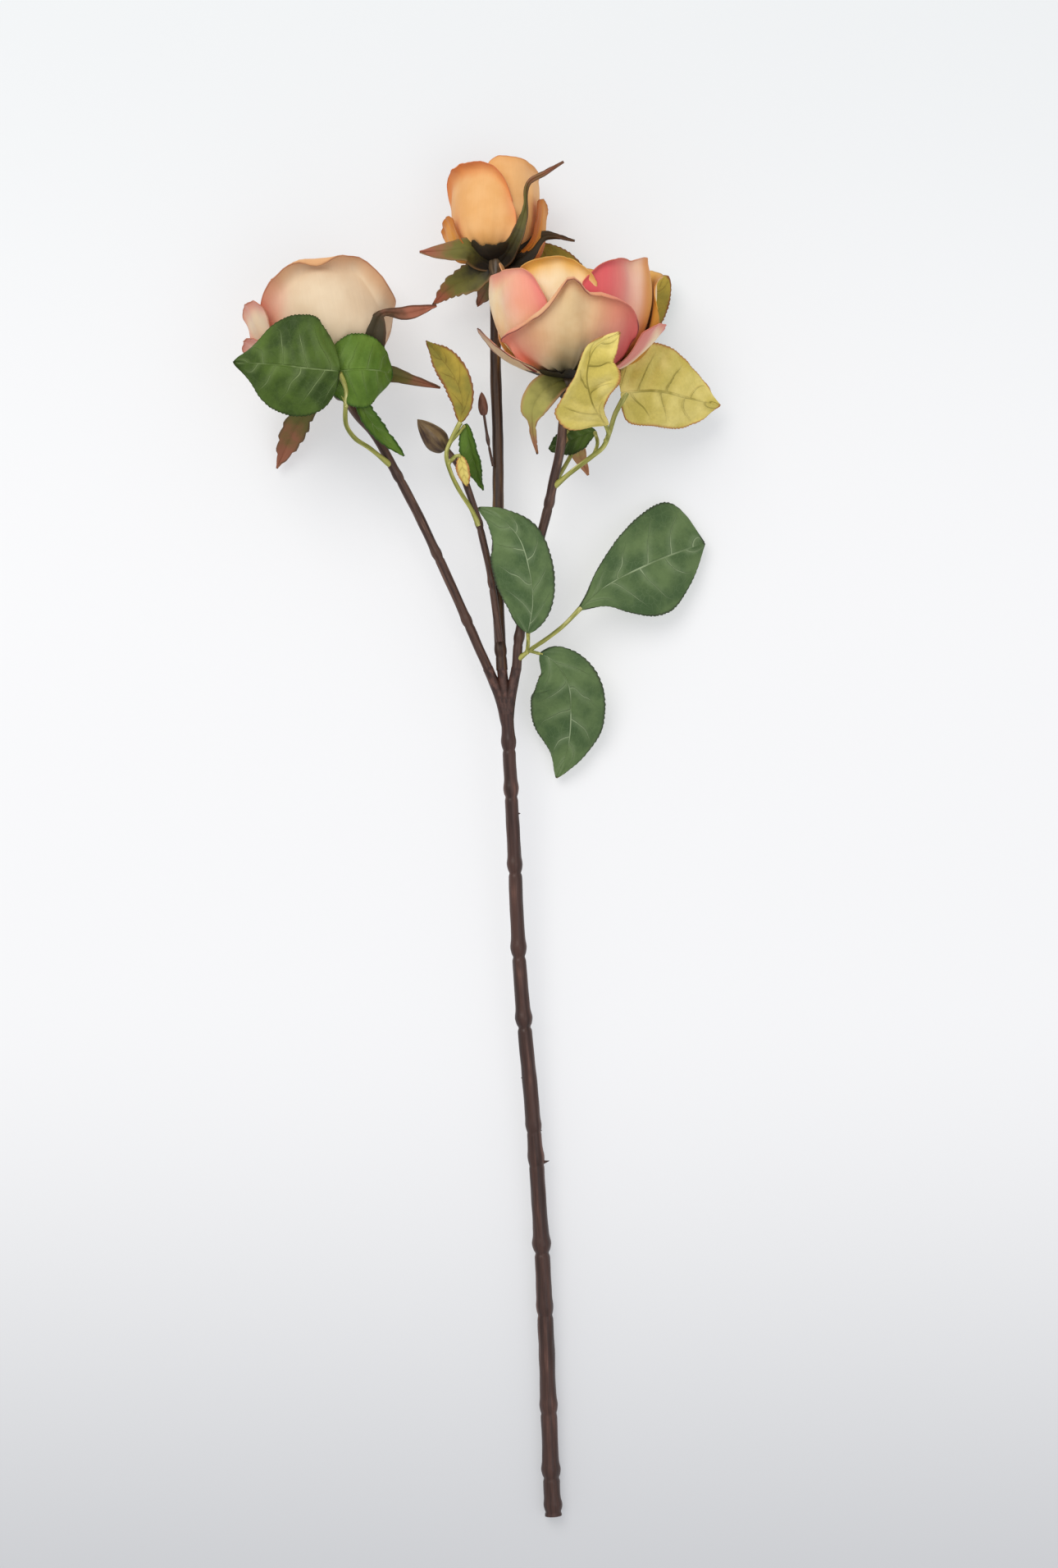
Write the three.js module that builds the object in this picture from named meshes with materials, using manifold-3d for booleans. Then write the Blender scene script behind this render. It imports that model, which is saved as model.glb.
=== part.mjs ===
// Cut rose spray lying down: one stem, three blooms, two buds and their leaves.
// Units are millimetres. +Y runs up the stem, +Z is up, and the floor is z = 0.
import * as THREE from 'three';
import { mergeVertices } from 'three/addons/utils/BufferGeometryUtils.js';
import Module from 'manifold-3d';

const wasm = await Module();
wasm.setup();

// ---------- driving dimensions ----------
const CLEARANCE = 0.3;
const PETAL_THICKNESS = 1.0;
const LEAF_THICKNESS = 0.9;
const SEPAL_THICKNESS = 1.1;
const STEM_SIDES = 8;
const PETIOLE_SIDES = 6;
const PETAL_COLUMNS = 7;
const PETAL_ROWS = 5;
const LEAF_COLUMNS = 4;
const LEAF_ROWS = 8;
const SEPAL_COLUMNS = 2;
const SEPAL_ROWS = 6;
const TIP_HALF_WIDTH = 0.35;
const MERGE_TOLERANCE = 0.02;
const STEM_SECTIONS = 44;
const STUB_SECTIONS = 4;
const SHOOT_SECTIONS_AT_MOST = 16;
const HIP_SIDES = 12;
const CORE_SIDES = 14;
const BUD_SIDES = 10;
const NORMAL_STEP = 0.01;
const PETAL_SPREAD_AT_FOOT = 0.5;
const LEAST_PETAL_RADIUS = 1.2;

// ---------- small helpers ----------
const rad = THREE.MathUtils.degToRad;
const ramp = THREE.MathUtils.smoothstep;
const vec = (p) => new THREE.Vector3(p[0], p[1], p[2]);
const curve = (points) => new THREE.CatmullRomCurve3(points.map(vec), false, 'centripetal');

function closedGeometry(points, faces) {
  const positions = [];
  for (const p of points) positions.push(p.x, p.y, p.z);
  const geometry = new THREE.BufferGeometry();
  geometry.setAttribute('position', new THREE.Float32BufferAttribute(positions, 3));
  let volume = 0;
  for (const [a, b, c] of faces) {
    volume += points[a].dot(new THREE.Vector3().crossVectors(points[b], points[c]));
  }
  const index = [];
  for (const [a, b, c] of faces) {
    if (volume < 0) index.push(a, c, b);
    else index.push(a, b, c);
  }
  geometry.setIndex(index);
  return geometry;
}

function toManifold(geometry) {
  const bare = geometry.clone();
  bare.deleteAttribute('normal');
  bare.deleteAttribute('uv');
  const merged = mergeVertices(bare, 1e-4);
  return new wasm.Manifold(new wasm.Mesh({
    numProp: 3,
    vertProperties: Float32Array.from(merged.attributes.position.array),
    triVerts: Uint32Array.from(merged.index.array),
  }));
}

function toGeometry(solid) {
  const mesh = solid.getMesh();
  const geometry = new THREE.BufferGeometry();
  geometry.setAttribute('position', new THREE.Float32BufferAttribute(mesh.vertProperties, 3));
  geometry.setIndex(Array.from(mesh.triVerts));
  geometry.computeVertexNormals();
  return geometry;
}

// ---------- solids of one kind each ----------

// A round rod along a centreline; radius is a function of the share of the way along.
function rod(points, radius, grow, sides, sections) {
  const path = curve(points);
  const frames = path.computeFrenetFrames(sections, false);
  const vertices = [];
  const faces = [];
  for (let i = 0; i <= sections; i++) {
    const t = i / sections;
    const centre = path.getPointAt(t);
    if (i === 0) centre.addScaledVector(frames.tangents[i], -grow);
    if (i === sections) centre.addScaledVector(frames.tangents[i], grow);
    for (let k = 0; k < sides; k++) {
      const angle = 2 * Math.PI * k / sides;
      const r = radius(t) + grow;
      vertices.push(centre.clone()
        .addScaledVector(frames.normals[i], r * Math.cos(angle))
        .addScaledVector(frames.binormals[i], r * Math.sin(angle)));
    }
  }
  for (let i = 0; i < sections; i++) {
    for (let k = 0; k < sides; k++) {
      const a = i * sides + k;
      const b = i * sides + (k + 1) % sides;
      faces.push([a, b, b + sides], [a, b + sides, a + sides]);
    }
  }
  const last = sections * sides;
  for (let k = 1; k < sides - 1; k++) {
    faces.push([0, k + 1, k], [last, last + k, last + k + 1]);
  }
  return toManifold(closedGeometry(vertices, faces));
}

// A sheet of even thickness over a surface function of u in -1..1 and v in 0..1.
function sheet(surface, thickness, columns, rows) {
  const vertices = [];
  const faces = [];
  const count = (columns + 1) * (rows + 1);
  for (const side of [0.5, -0.5]) {
    for (let j = 0; j <= rows; j++) {
      const v = 0.5 - 0.5 * Math.cos(Math.PI * j / rows);
      for (let i = 0; i <= columns; i++) {
        const u = -1 + 2 * i / columns;
        const du = surface(u + NORMAL_STEP, v).sub(surface(u - NORMAL_STEP, v));
        const low = Math.max(v - NORMAL_STEP, 0);
        const high = Math.min(v + NORMAL_STEP, 1);
        const dv = surface(u, high).sub(surface(u, low));
        const normal = du.cross(dv).normalize();
        vertices.push(surface(u, v).addScaledVector(normal, side * thickness));
      }
    }
  }
  const at = (i, j) => j * (columns + 1) + i;
  const quad = (a, b, c, d) => faces.push([a, b, c], [a, c, d]);
  for (let j = 0; j < rows; j++) {
    for (let i = 0; i < columns; i++) {
      quad(at(i, j), at(i + 1, j), at(i + 1, j + 1), at(i, j + 1));
      quad(count + at(i, j), count + at(i, j + 1), count + at(i + 1, j + 1), count + at(i + 1, j));
    }
  }
  for (let j = 0; j < rows; j++) {
    quad(at(0, j), at(0, j + 1), count + at(0, j + 1), count + at(0, j));
    quad(at(columns, j + 1), at(columns, j), count + at(columns, j), count + at(columns, j + 1));
  }
  for (let i = 0; i < columns; i++) {
    quad(at(i + 1, 0), at(i, 0), count + at(i, 0), count + at(i + 1, 0));
    quad(at(i, rows), at(i + 1, rows), count + at(i + 1, rows), count + at(i, rows));
  }
  return toManifold(closedGeometry(vertices, faces));
}

// A leaf or sepal: a folded, cupped sheet on either side of a midrib.
function blade(spec, thickness, grow, columns, rows) {
  const path = curve(spec.rib);
  const up = vec(spec.up ?? [0, 0, 1]).normalize();
  const full = spec.full ?? 0.7;
  const powerRight = Math.log(0.5) / Math.log(spec.wide);
  const powerLeft = Math.log(0.5) / Math.log(spec.wideLeft ?? spec.wide);
  const surface = (u, v) => {
    const centre = path.getPointAt(v);
    const tangent = path.getTangentAt(v);
    if (v <= 0) centre.addScaledVector(tangent, -grow);
    if (v >= 1) centre.addScaledVector(tangent, grow);
    const side = new THREE.Vector3().crossVectors(tangent, up).normalize();
    const lift = new THREE.Vector3().crossVectors(side, tangent);
    const half = u < 0 ? spec.left : spec.right;
    const along = Math.pow(v, u < 0 ? powerLeft : powerRight);
    const outline = Math.pow(Math.max(Math.sin(Math.PI * along), 0), full);
    const width = Math.max(half * outline, TIP_HALF_WIDTH) + grow;
    const reach = u * width;
    const rise = (spec.fold ?? 0.15) * Math.abs(reach) + (spec.cup ?? 0) * u * reach;
    const ripple = (spec.ripple ?? 0) * Math.sin(9 * v) * u * u;
    return centre.addScaledVector(side, reach).addScaledVector(lift, rise + ripple);
  };
  return sheet(surface, thickness + 2 * grow, columns, rows);
}

// One petal, a patch of the bloom's bowl: profile, then inset, curl, flare and wave.
function petal(bloom, spec, grow) {
  const profile = new THREE.CatmullRomCurve3(bloom.profile.map(([r, y]) => new THREE.Vector3(r, y, 0)));
  const length = profile.getLength();
  const surface = (u, v) => {
    const start = (spec.start ?? 2) / length;
    const top = (spec.top + grow) / length;
    const round = u < 0 ? spec.roundLeft ?? spec.round ?? 2.2 : spec.round ?? 2.2;
    const drop = (spec.drop ?? 8) / length * Math.pow(Math.abs(u), round);
    const along = THREE.MathUtils.clamp(start + (top - drop - start) * v, 0, 1);
    const point = profile.getPointAt(along);
    const tangent = profile.getTangentAt(along);
    const spread = PETAL_SPREAD_AT_FOOT + (1 - PETAL_SPREAD_AT_FOOT) * ramp(v, 0, 0.55);
    const phi = rad(spec.phi) + u * (rad(spec.half) * spread + grow / Math.max(point.x, 8));
    const curl = (spec.curl ?? 0) * Math.pow(ramp(v, 0.55, 1), 2);
    const flare = (spec.flare ?? 0) * Math.pow(Math.abs(u), 3) * v;
    const wave = (spec.wave ?? 0) * Math.sin(Math.PI * 2.5 * u + spec.phi) * v * v;
    const out = curl + flare + wave - spec.inset - (spec.lean ?? 0) * u;
    const r = Math.max(point.x + tangent.y * out, LEAST_PETAL_RADIUS);
    const y = point.y - tangent.x * out;
    return new THREE.Vector3(r * Math.sin(phi), y, r * Math.cos(phi) * bloom.depth)
      .applyMatrix4(bloom.matrix);
  };
  return sheet(surface, PETAL_THICKNESS + 2 * grow, PETAL_COLUMNS, PETAL_ROWS);
}

// A solid turned about the bloom's or bud's own axis from [radius, height] points.
function turned(matrix, points, grow, sides) {
  const grown = points.map(([r, y], i) => {
    const push = i === 0 ? -grow : i === points.length - 1 ? grow : 0;
    return new THREE.Vector2(r === 0 ? 0 : r + grow, y + push);
  });
  const geometry = new THREE.LatheGeometry(grown, sides);
  geometry.applyMatrix4(matrix);
  return toManifold(geometry);
}

// Placement whose Y axis runs from base along axis, with Z kept as near up as it goes.
function placement(base, axis) {
  const y = vec(axis).normalize();
  const x = new THREE.Vector3().crossVectors(y, new THREE.Vector3(0, 0, 1)).normalize();
  const z = new THREE.Vector3().crossVectors(x, y);
  return new THREE.Matrix4().makeBasis(x, y, z).setPosition(vec(base));
}

// ---------- stem and shoots ----------
const mainLine = [
  [34, -297, 4], [33, -277, 4.2], [31, -222, 6], [29, -179, 8], [25, -121, 11], [21, -78, 14],
  [19, -50, 16], [17, -7, 18], [15, 32, 21], [14, 53, 22],
];
const STEM_FOOT_RADIUS = 3.7;
const STEM_TOP_RADIUS = 2.8;
const KNUCKLE_EXTRA = 0.4;
const KNUCKLE_REACH = 0.008;
const knuckles = [0.01, 0.06, 0.14, 0.27, 0.34, 0.45, 0.63, 0.72, 0.82, 0.93, 0.98];
const THORN_LENGTH = 2.6;
const THORN_FOOT_RADIUS = 1.3;
const THORN_TIP_RADIUS = 0.3;
const THORN_SIDES = 6;
const THORN_ROOT_DEPTH = 0.8;
const thorns = [
  { at: [28.6, -142, 9.8], toward: [1, 0.2, 0.2] },
  { at: [22.4, -105, 12], toward: [-1, 0.1, 0.2] },
  { at: [31, -241, 5.6], toward: [1, 0.2, 0.3] },
];
const stubs = {
  left: [[14, 50, 22], [11, 60, 22], [6.2, 71.5, 22.6]],
  centre: [[14, 50, 22], [13, 60, 22.2], [11.8, 71.5, 22.8]],
  right: [[14, 50, 22], [15.4, 60, 22.4], [17.8, 71.5, 23.2]],
};
const STUB_RADIUS = 2.3;

function mainStem(grow) {
  const radius = (t) => {
    const plain = THREE.MathUtils.lerp(STEM_FOOT_RADIUS, STEM_TOP_RADIUS, t);
    const near = Math.min(...knuckles.map((k) => Math.abs(k - t)));
    return plain + (near < KNUCKLE_REACH ? KNUCKLE_EXTRA : 0);
  };
  let solid = rod(mainLine, radius, grow, STEM_SIDES, STEM_SECTIONS);
  for (const line of Object.values(stubs)) {
    solid = solid.add(rod(line, () => STUB_RADIUS, grow, STEM_SIDES, STUB_SECTIONS));
  }
  for (const thorn of thorns) {
    const foot = vec(thorn.at);
    const tip = foot.clone().addScaledVector(vec(thorn.toward).normalize(), THORN_LENGTH);
    const start = foot.clone().lerp(tip, -THORN_ROOT_DEPTH);
    const radiusAt = (t) => THREE.MathUtils.lerp(THORN_FOOT_RADIUS, THORN_TIP_RADIUS, t);
    solid = solid.add(rod([start.toArray(), tip.toArray()], radiusAt, grow, THORN_SIDES, 1));
  }
  return solid;
}

const shoots = {
  left_shoot: {
    line: [[6, 72, 22.6], [2, 81, 23], [-5, 97, 24], [-14, 117, 25], [-21, 132, 26], [-28, 146, 27],
      [-35, 159, 28], [-43, 173, 29.4], [-50, 181, 29.8], [-54.6, 187, 29.8]],
    r: 2.1,
  },
  centre_shoot: {
    line: [[11.7, 72, 22.8], [10.5, 92, 22], [10, 113, 21], [10, 141, 20], [10, 170, 19], [9, 201, 19],
      [9, 219, 20], [9, 231, 22.5], [9.4, 238, 28], [9.5, 240.6, 32.4]],
    r: 2.3,
  },
  right_shoot: {
    line: [[17.9, 72, 23.3], [19, 85, 24], [22, 101, 25], [26, 120, 27], [31, 139, 30], [34, 153, 32],
      [37, 167, 34], [38, 178, 35.5], [39.4, 185.6, 36.6]],
    r: 2.2,
  },
  bud_shoot: {
    line: [[10.8, 84, 26.8], [9, 98, 26.6], [7, 112, 26.6], [4, 126, 27], [1, 138, 26.8], [-3, 150, 26],
      [-7, 160, 25.2], [-11.6, 165.6, 24.6]],
    r: 1.7,
  },
  bud_twig: {
    line: [[7.4, 160, 23.2], [6.6, 166, 24.4], [5.4, 174, 24.8], [4.2, 180.5, 24.8]],
    r: 1.0,
  },
};

// ---------- petioles: the leaf stalks ----------
const petioles = {
  petiole_left: {
    lines: [
      [[-39, 160.4, 31.6], [-43, 166, 35], [-50, 169.5, 42], [-54, 174, 49], [-54, 181, 55.6],
        [-53.4, 188, 59.2], [-54, 193.4, 60.6]],
      [[-53.8, 183, 56.8], [-50.6, 189, 59], [-50, 192, 59.4]],
    ],
    r: 1.3,
  },
  petiole_bud: {
    lines: [
      [[1.4, 134.5, 29.4], [-1.5, 141, 30], [-6, 148, 30], [-10, 156, 30.6], [-12, 164, 31.4], [-10, 170, 32],
        [-6.6, 176, 32.2]],
      [[-11.2, 160, 31], [-8, 163.2, 31.6], [-6.4, 163.4, 31.6]],
      [[-10.4, 169, 32], [-6.8, 173, 31.6], [-4.6, 176, 31.4]],
    ],
    r: 1.2,
  },
  petiole_right: {
    lines: [
      [[36.4, 151, 34.6], [43, 157, 38], [50, 162, 41], [55, 166, 43.4], [57.5, 172, 43], [60, 180, 42.2],
        [63.6, 187.6, 42]],
      [[56, 168.4, 43.4], [57, 171, 47.4], [56.6, 173, 50]],
      [[51, 162.8, 41], [52.6, 168, 38.6], [52.4, 172, 36]],
    ],
    r: 1.3,
  },
  petiole_low: {
    lines: [
      [[20.6, 77.5, 25.6], [24, 80.5, 24.6], [31, 85.5, 23], [38, 91, 21.6], [44, 97.4, 20.4]],
      [[22.4, 79.2, 25.2], [23, 83, 27.6], [23, 85.6, 29.2]],
      [[23.6, 80.2, 24.8], [26, 79.4, 23.4], [27.6, 78.4, 22.6]],
    ],
    r: 1.25,
  },
  petiole_behind: {
    lines: [
      [[38.4, 158, 30.4], [42, 166, 25], [44, 176, 17], [46, 188, 9], [48, 199, 5.4], [52, 206, 5]],
      [[46.6, 192, 7.6], [45.4, 200, 4], [44.6, 206.6, 2.4]],
    ],
    r: 1.2,
  },
};

// ---------- leaflets ----------
const leaves = {
  leaf_left_big: {
    rib: [[-56, 195.6, 61], [-66, 196, 64.4], [-81, 198, 62], [-101, 201, 50]],
    left: 20, right: 23, wide: 0.36, full: 0.55, fold: -0.16, cup: -0.05,
  },
  leaf_left_round: {
    rib: [[-58, 196, 55.4], [-48, 197, 57], [-38, 198.6, 53], [-32.6, 199, 44.6]],
    left: 17, right: 12.5, wide: 0.46, full: 0.45, fold: -0.2, cup: -0.1,
  },
  leaf_left_narrow: {
    rib: [[-50.6, 190.6, 53.6], [-46, 180, 48], [-38, 170, 40.5], [-30, 163, 35]],
    left: 3.8, right: 3.8, wide: 0.45, full: 0.8, fold: 0.9, up: [0.5, 0.4, 1],
  },
  leaf_bud_upper: {
    rib: [[-5.6, 178.4, 32.6], [-5, 186, 34.5], [-8, 196, 34.5], [-14, 205, 30], [-21, 214, 22]],
    left: 5.6, right: 7, wide: 0.45, full: 0.7, fold: 0.4, up: [-0.3, 0, 1],
  },
  leaf_bud_lower: {
    rib: [[-3.4, 176.6, 30.2], [-2, 168, 29], [0.6, 159, 24], [3.6, 150, 18.5]],
    left: 4.6, right: 4.2, wide: 0.42, full: 0.7, fold: 0.7, up: [-0.5, 0, 1],
  },
  leaf_bud_small: {
    rib: [[-5.6, 162.8, 31.4], [-4.6, 157, 31.4], [-3, 150.6, 29.6]],
    left: 2.8, right: 2.8, wide: 0.45, full: 0.7, fold: 0.4, up: [-0.2, 0, 1],
  },
  leaf_right_upper: {
    rib: [[55.6, 174.6, 52], [50, 183, 61], [47.6, 194, 70], [51, 203.5, 75], [61, 209.5, 76.5]],
    left: 16, right: 12.5, wide: 0.45, full: 0.6, fold: 0.28, up: [-0.2, -0.5, 1],
  },
  leaf_right_broad: {
    rib: [[64.4, 189, 41.6], [78, 190.6, 35.4], [92, 189, 25], [106, 187, 15]],
    left: 19.5, right: 16, wide: 0.4, full: 0.48, fold: -0.12, cup: -0.08, up: [0.3, -0.1, 1],
  },
  leaf_right_low: {
    rib: [[51.4, 173.6, 33.6], [43, 171.4, 26], [32, 168, 17]],
    left: 6.5, right: 6, wide: 0.45, full: 0.7, fold: 0.2, up: [-0.4, 0, 1],
  },
  leaf_low_upper: {
    rib: [[23, 88.4, 31], [25, 100, 34], [24, 112, 36.5], [19, 128, 38], [10, 137, 37], [2, 141, 34]],
    left: 15.5, right: 10.4, wide: 0.45, full: 0.6, fold: -0.18, cup: -0.04,
  },
  leaf_low_right: {
    rib: [[45.6, 99.4, 20.4], [56, 108, 20], [77, 119, 16], [100, 128, 7]],
    left: 20.5, right: 21, wide: 0.58, wideLeft: 0.7, full: 0.66, fold: -0.1, cup: -0.12,
  },
  leaf_low_bottom: {
    rib: [[28.6, 79.4, 22.4], [34.5, 75.5, 23], [40.4, 66, 20], [41.6, 52, 13.6], [40, 37, 8.6],
      [35.4, 25.6, 5]],
    left: 15, right: 17.5, wide: 0.48, full: 0.66, fold: -0.1, cup: -0.1,
  },
  leaf_behind_right: {
    rib: [[53.4, 207.4, 5.4], [63, 218, 6], [74, 231, 7.6], [84, 244, 10]],
    left: 11, right: 11, wide: 0.48, full: 0.6, fold: 0.1,
  },
  leaf_behind_top: {
    rib: [[44, 209, 2], [42, 224, 1.4], [37, 242, 1.6], [25, 259, 4]],
    left: 10, right: 13, wide: 0.55, full: 0.6, fold: 0.04,
  },
};

// ---------- blooms ----------
const blooms = {
  left: {
    matrix: placement([-58.5, 197, 28.4], [-0.2, 0.97, -0.04]),
    depth: 0.98,
    profile: [[3, 1], [12, 3], [20.5, 9], [26, 17], [27.2, 27], [25.8, 37], [22.4, 45], [17.6, 51]],
    hip: [[0, -10], [2.4, -9], [4, -6], [5, -3], [4.8, -1], [3.6, 0.2], [0, 0.3]],
    core: [[0, 15], [7, 18], [11, 25], [11.5, 33], [8, 41], [0, 44]],
    petals: {
      front: { phi: 10, half: 76, inset: 0, top: 60, drop: 12, round: 3, curl: 1.6, wave: 0.4 },
      side: { phi: -66, half: 50, inset: 2.2, top: 61, drop: 11, curl: 1.2 },
      back_right: { phi: 129, half: 44, inset: 0.8, top: 60, drop: 10, curl: 1 },
      back_left: { phi: -141, half: 44, inset: 0.2, top: 59, drop: 10, curl: 1 },
      outer_upper: { phi: -84, half: 34, inset: -2.2, top: 49, drop: 12, curl: 6, start: 12 },
      outer_lower: { phi: -104, half: 32, inset: -5, top: 37, drop: 10, curl: 4, start: 12 },
      inner_right: { phi: 62, half: 66, inset: 4.4, top: 62, drop: 12 },
      inner_left: { phi: -62, half: 66, inset: 6.4, top: 61, drop: 12 },
      inner_back: { phi: 180, half: 66, inset: 8.4, top: 60, drop: 12 },
    },
  },
  top: {
    matrix: placement([9.5, 247, 32.6], [0.0, 0.92, -0.36]),
    depth: 1,
    profile: [[2.5, 1], [9, 3], [15, 9], [18.2, 18], [19, 28], [18.6, 37], [17.2, 43], [14.6, 48]],
    hip: [[0, -8], [2.2, -7.4], [3.6, -5], [4.2, -2.5], [4, -1], [3, 0.2], [0, 0.3]],
    core: [[0, 11], [5, 13], [8, 19], [8.4, 27], [6, 34], [0, 37]],
    petals: {
      front: { phi: -42, half: 66, inset: 0, top: 48, drop: 8, round: 3.4, curl: 1.8, wave: 0.3 },
      side: { phi: 52, half: 66, inset: 2, top: 52.5, drop: 7, round: 6, curl: 1 },
      back: { phi: 180, half: 64, inset: 0.2, top: 49, drop: 9, curl: 0.6 },
      outer_left: { phi: -94, half: 30, inset: -1.8, top: 26, drop: 6, curl: 2.6, start: 9 },
      outer_right: { phi: 86, half: 32, inset: -1.8, top: 34, drop: 8, curl: 2.6, start: 9 },
      inner_left: { phi: -80, half: 80, inset: 4.2, top: 51, drop: 9 },
      inner_right: { phi: 110, half: 84, inset: 6.2, top: 50, drop: 9 },
    },
  },
  right: {
    matrix: placement([40, 196, 38], [0.02, 0.98, 0.12]),
    depth: 0.97,
    profile: [[3, 1], [14, 3], [26, 9], [33, 19], [36, 31], [35.5, 42], [33, 51], [29, 58]],
    hip: [[0, -10], [2.6, -9], [4.4, -6], [5.4, -3], [5.2, -1], [4, 0.2], [0, 0.3]],
    core: [[0, 20], [8, 22], [14, 29], [15, 38], [11, 46], [0, 49]],
    petals: {
      front: { phi: -2, half: 54, inset: 0, top: 63, drop: 27, round: 1.9, roundLeft: 1.15, curl: 2.2 },
      left: { phi: -72, half: 54, inset: 2.4, top: 63, drop: 12, round: 3, curl: 1.8 },
      right_outer: { phi: 98, half: 44, inset: 0.4, top: 65, drop: 11, curl: 2.4 },
      back_left: { phi: -148, half: 46, inset: 0.4, top: 60, drop: 12, curl: 1 },
      back_right: { phi: 158, half: 40, inset: 2.6, top: 60, drop: 12, curl: 1 },
      outer_left: { phi: -98, half: 34, inset: -2.6, top: 42, drop: 12, curl: 6, start: 14 },
      outer_right: { phi: 110, half: 26, inset: -2.2, top: 44, drop: 10, curl: 5, start: 14 },
      arch: { phi: -16, half: 46, inset: 5, top: 72, drop: 13, curl: 1 },
      right_inner: { phi: 52, half: 46, inset: 7, top: 70, drop: 10, curl: 1 },
      inner_left: { phi: -104, half: 56, inset: 7, top: 66, drop: 10 },
      inner_back: { phi: 170, half: 66, inset: 9.2, top: 66, drop: 10 },
    },
  },
};

// Sepal ribs, from the hip outwards; each calyx is one solid with its hip.
const sepals = {
  left: [
    {
      wrap: [[50, 3, 2.6], [46, 15, 2.6], [46, 26, 2.6], [54, 33, 3]],
      rib: [[-29, 222, 46], [-16, 226, 41]],
      half: 3.4,
    },
    { wrap: [[80, 2, 2.4], [86, 6, 5]], rib: [[-38, 199, 27], [-27, 197, 23], [-15, 194, 20]], half: 2.6 },
    { wrap: [[-120, 2, 2.4]], rib: [[-66, 190, 19], [-76, 181, 11], [-87, 161, 4]], half: 4.6 },
    { wrap: [[160, 3, 2.4], [160, 16, 2.4], [160, 30, 2.2]], rib: [], half: 3 },
    { wrap: [[-30, 3, 2.4], [-34, 16, 2.4], [-36, 28, 2.2]], rib: [], half: 3 },
  ],
  top: [
    { wrap: [[-60, 2, 2.4]], rib: [[-2, 250, 42], [-11, 249, 43.6], [-23, 249, 41]], half: 4.2 },
    { wrap: [[-90, 1, 2.4]], rib: [[0, 240, 33], [-10, 236, 28], [-18, 230, 20]], half: 4 },
    {
      wrap: [[35, 3, 2.6], [30, 14, 2.8], [34, 24, 3]],
      rib: [[23, 277, 46], [30, 281, 48], [38, 286, 47]],
      half: 3.4,
    },
    { wrap: [[60, 3, 2.4], [64, 9, 3]], rib: [[30, 257, 35], [43, 255, 34]], half: 3 },
    { wrap: [[170, 2, 2.2]], rib: [[7, 240, 20], [4, 236, 12], [1, 232, 5]], half: 3 },
  ],
  right: [
    { wrap: [[-20, 1, 2.4]], rib: [[33, 192, 45], [26, 184, 45], [25, 174, 36], [27, 165, 26]], half: 4.2 },
    { wrap: [[175, 1, 2.4]], rib: [[43, 184, 28], [43, 171, 23], [49, 157, 14]], half: 3.2 },
    { wrap: [[-140, 3, 2.4], [-140, 18, 2.4], [-140, 30, 2.2]], rib: [], half: 3.2 },
    { wrap: [[140, 3, 2.4], [140, 18, 2.4], [140, 30, 2.2]], rib: [], half: 3.2 },
    { wrap: [[84, 3, 2.4], [84, 16, 2.4], [84, 27, 2.2]], rib: [], half: 3 },
  ],
};

// A point just outside a bloom's bowl, from its azimuth, distance up the profile and offset.
function outside(bloom, [phi, along, out]) {
  const profile = new THREE.CatmullRomCurve3(bloom.profile.map(([r, y]) => new THREE.Vector3(r, y, 0)));
  const share = along / profile.getLength();
  const point = profile.getPointAt(share);
  const tangent = profile.getTangentAt(share);
  const r = point.x + tangent.y * out;
  const y = point.y - tangent.x * out;
  return new THREE.Vector3(r * Math.sin(rad(phi)), y, r * Math.cos(rad(phi)) * bloom.depth)
    .applyMatrix4(bloom.matrix);
}

function calyx(name, grow) {
  const bloom = blooms[name];
  const root = new THREE.Vector3(0, -3, 0).applyMatrix4(bloom.matrix);
  let solid = turned(bloom.matrix, bloom.hip, grow, HIP_SIDES);
  for (const sepal of sepals[name]) {
    const rib = [root, ...sepal.wrap.map((p) => outside(bloom, p))].map((p) => p.toArray());
    rib.push(...sepal.rib);
    const middle = vec(rib[Math.floor(rib.length / 2)]);
    const axisPoint = new THREE.Vector3(0, 12, 0).applyMatrix4(bloom.matrix);
    const up = sepal.rib.length > 0 ? [0, 0.1, 1] : middle.sub(axisPoint).toArray();
    const spec = { rib, up, left: sepal.half, right: sepal.half, wide: 0.38, full: 0.6, fold: 0.1 };
    solid = solid.add(blade(spec, SEPAL_THICKNESS, grow, SEPAL_COLUMNS, SEPAL_ROWS));
  }
  return solid;
}

// ---------- buds ----------
const buds = {
  dark_bud: {
    matrix: placement([-12.6, 166.6, 24.4], [-0.66, 0.72, 0.06]),
    outline: [[0, 0], [2.6, 0.6], [4.8, 4], [5, 7], [3.6, 12], [1.6, 16], [0, 18]],
  },
  small_bud: {
    matrix: placement([4, 181.4, 24.8], [-0.1, 0.98, 0]),
    outline: [[0, 0], [1.4, 0.4], [2.4, 3], [2.2, 6], [1, 9], [0, 10.4]],
  },
};

// ---------- materials ----------
const finishes = {
  bark: { color: 0x5b4038, roughness: 0.5 },
  shoot: { color: 0x77604e, roughness: 0.5 },
  stalk: { color: 0x93934f, roughness: 0.55 },
  leaf_green: { color: 0x4a6036, roughness: 0.8 },
  leaf_olive: { color: 0xb8aa62, roughness: 0.85 },
  calyx: { color: 0x5b5524, roughness: 0.7 },
  petal_cream: { color: 0xe2c7a6, roughness: 0.9 },
  petal_orange: { color: 0xe2a566, roughness: 0.9 },
  petal_tan: { color: 0xdf9f7c, roughness: 0.9 },
  bud: { color: 0x6c5236, roughness: 0.6 },
};
const petalFinish = { left: 'petal_cream', top: 'petal_orange', right: 'petal_tan' };
const paleLeaves = ['leaf_bud_upper', 'leaf_bud_small', 'leaf_right_upper', 'leaf_right_broad'];

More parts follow.
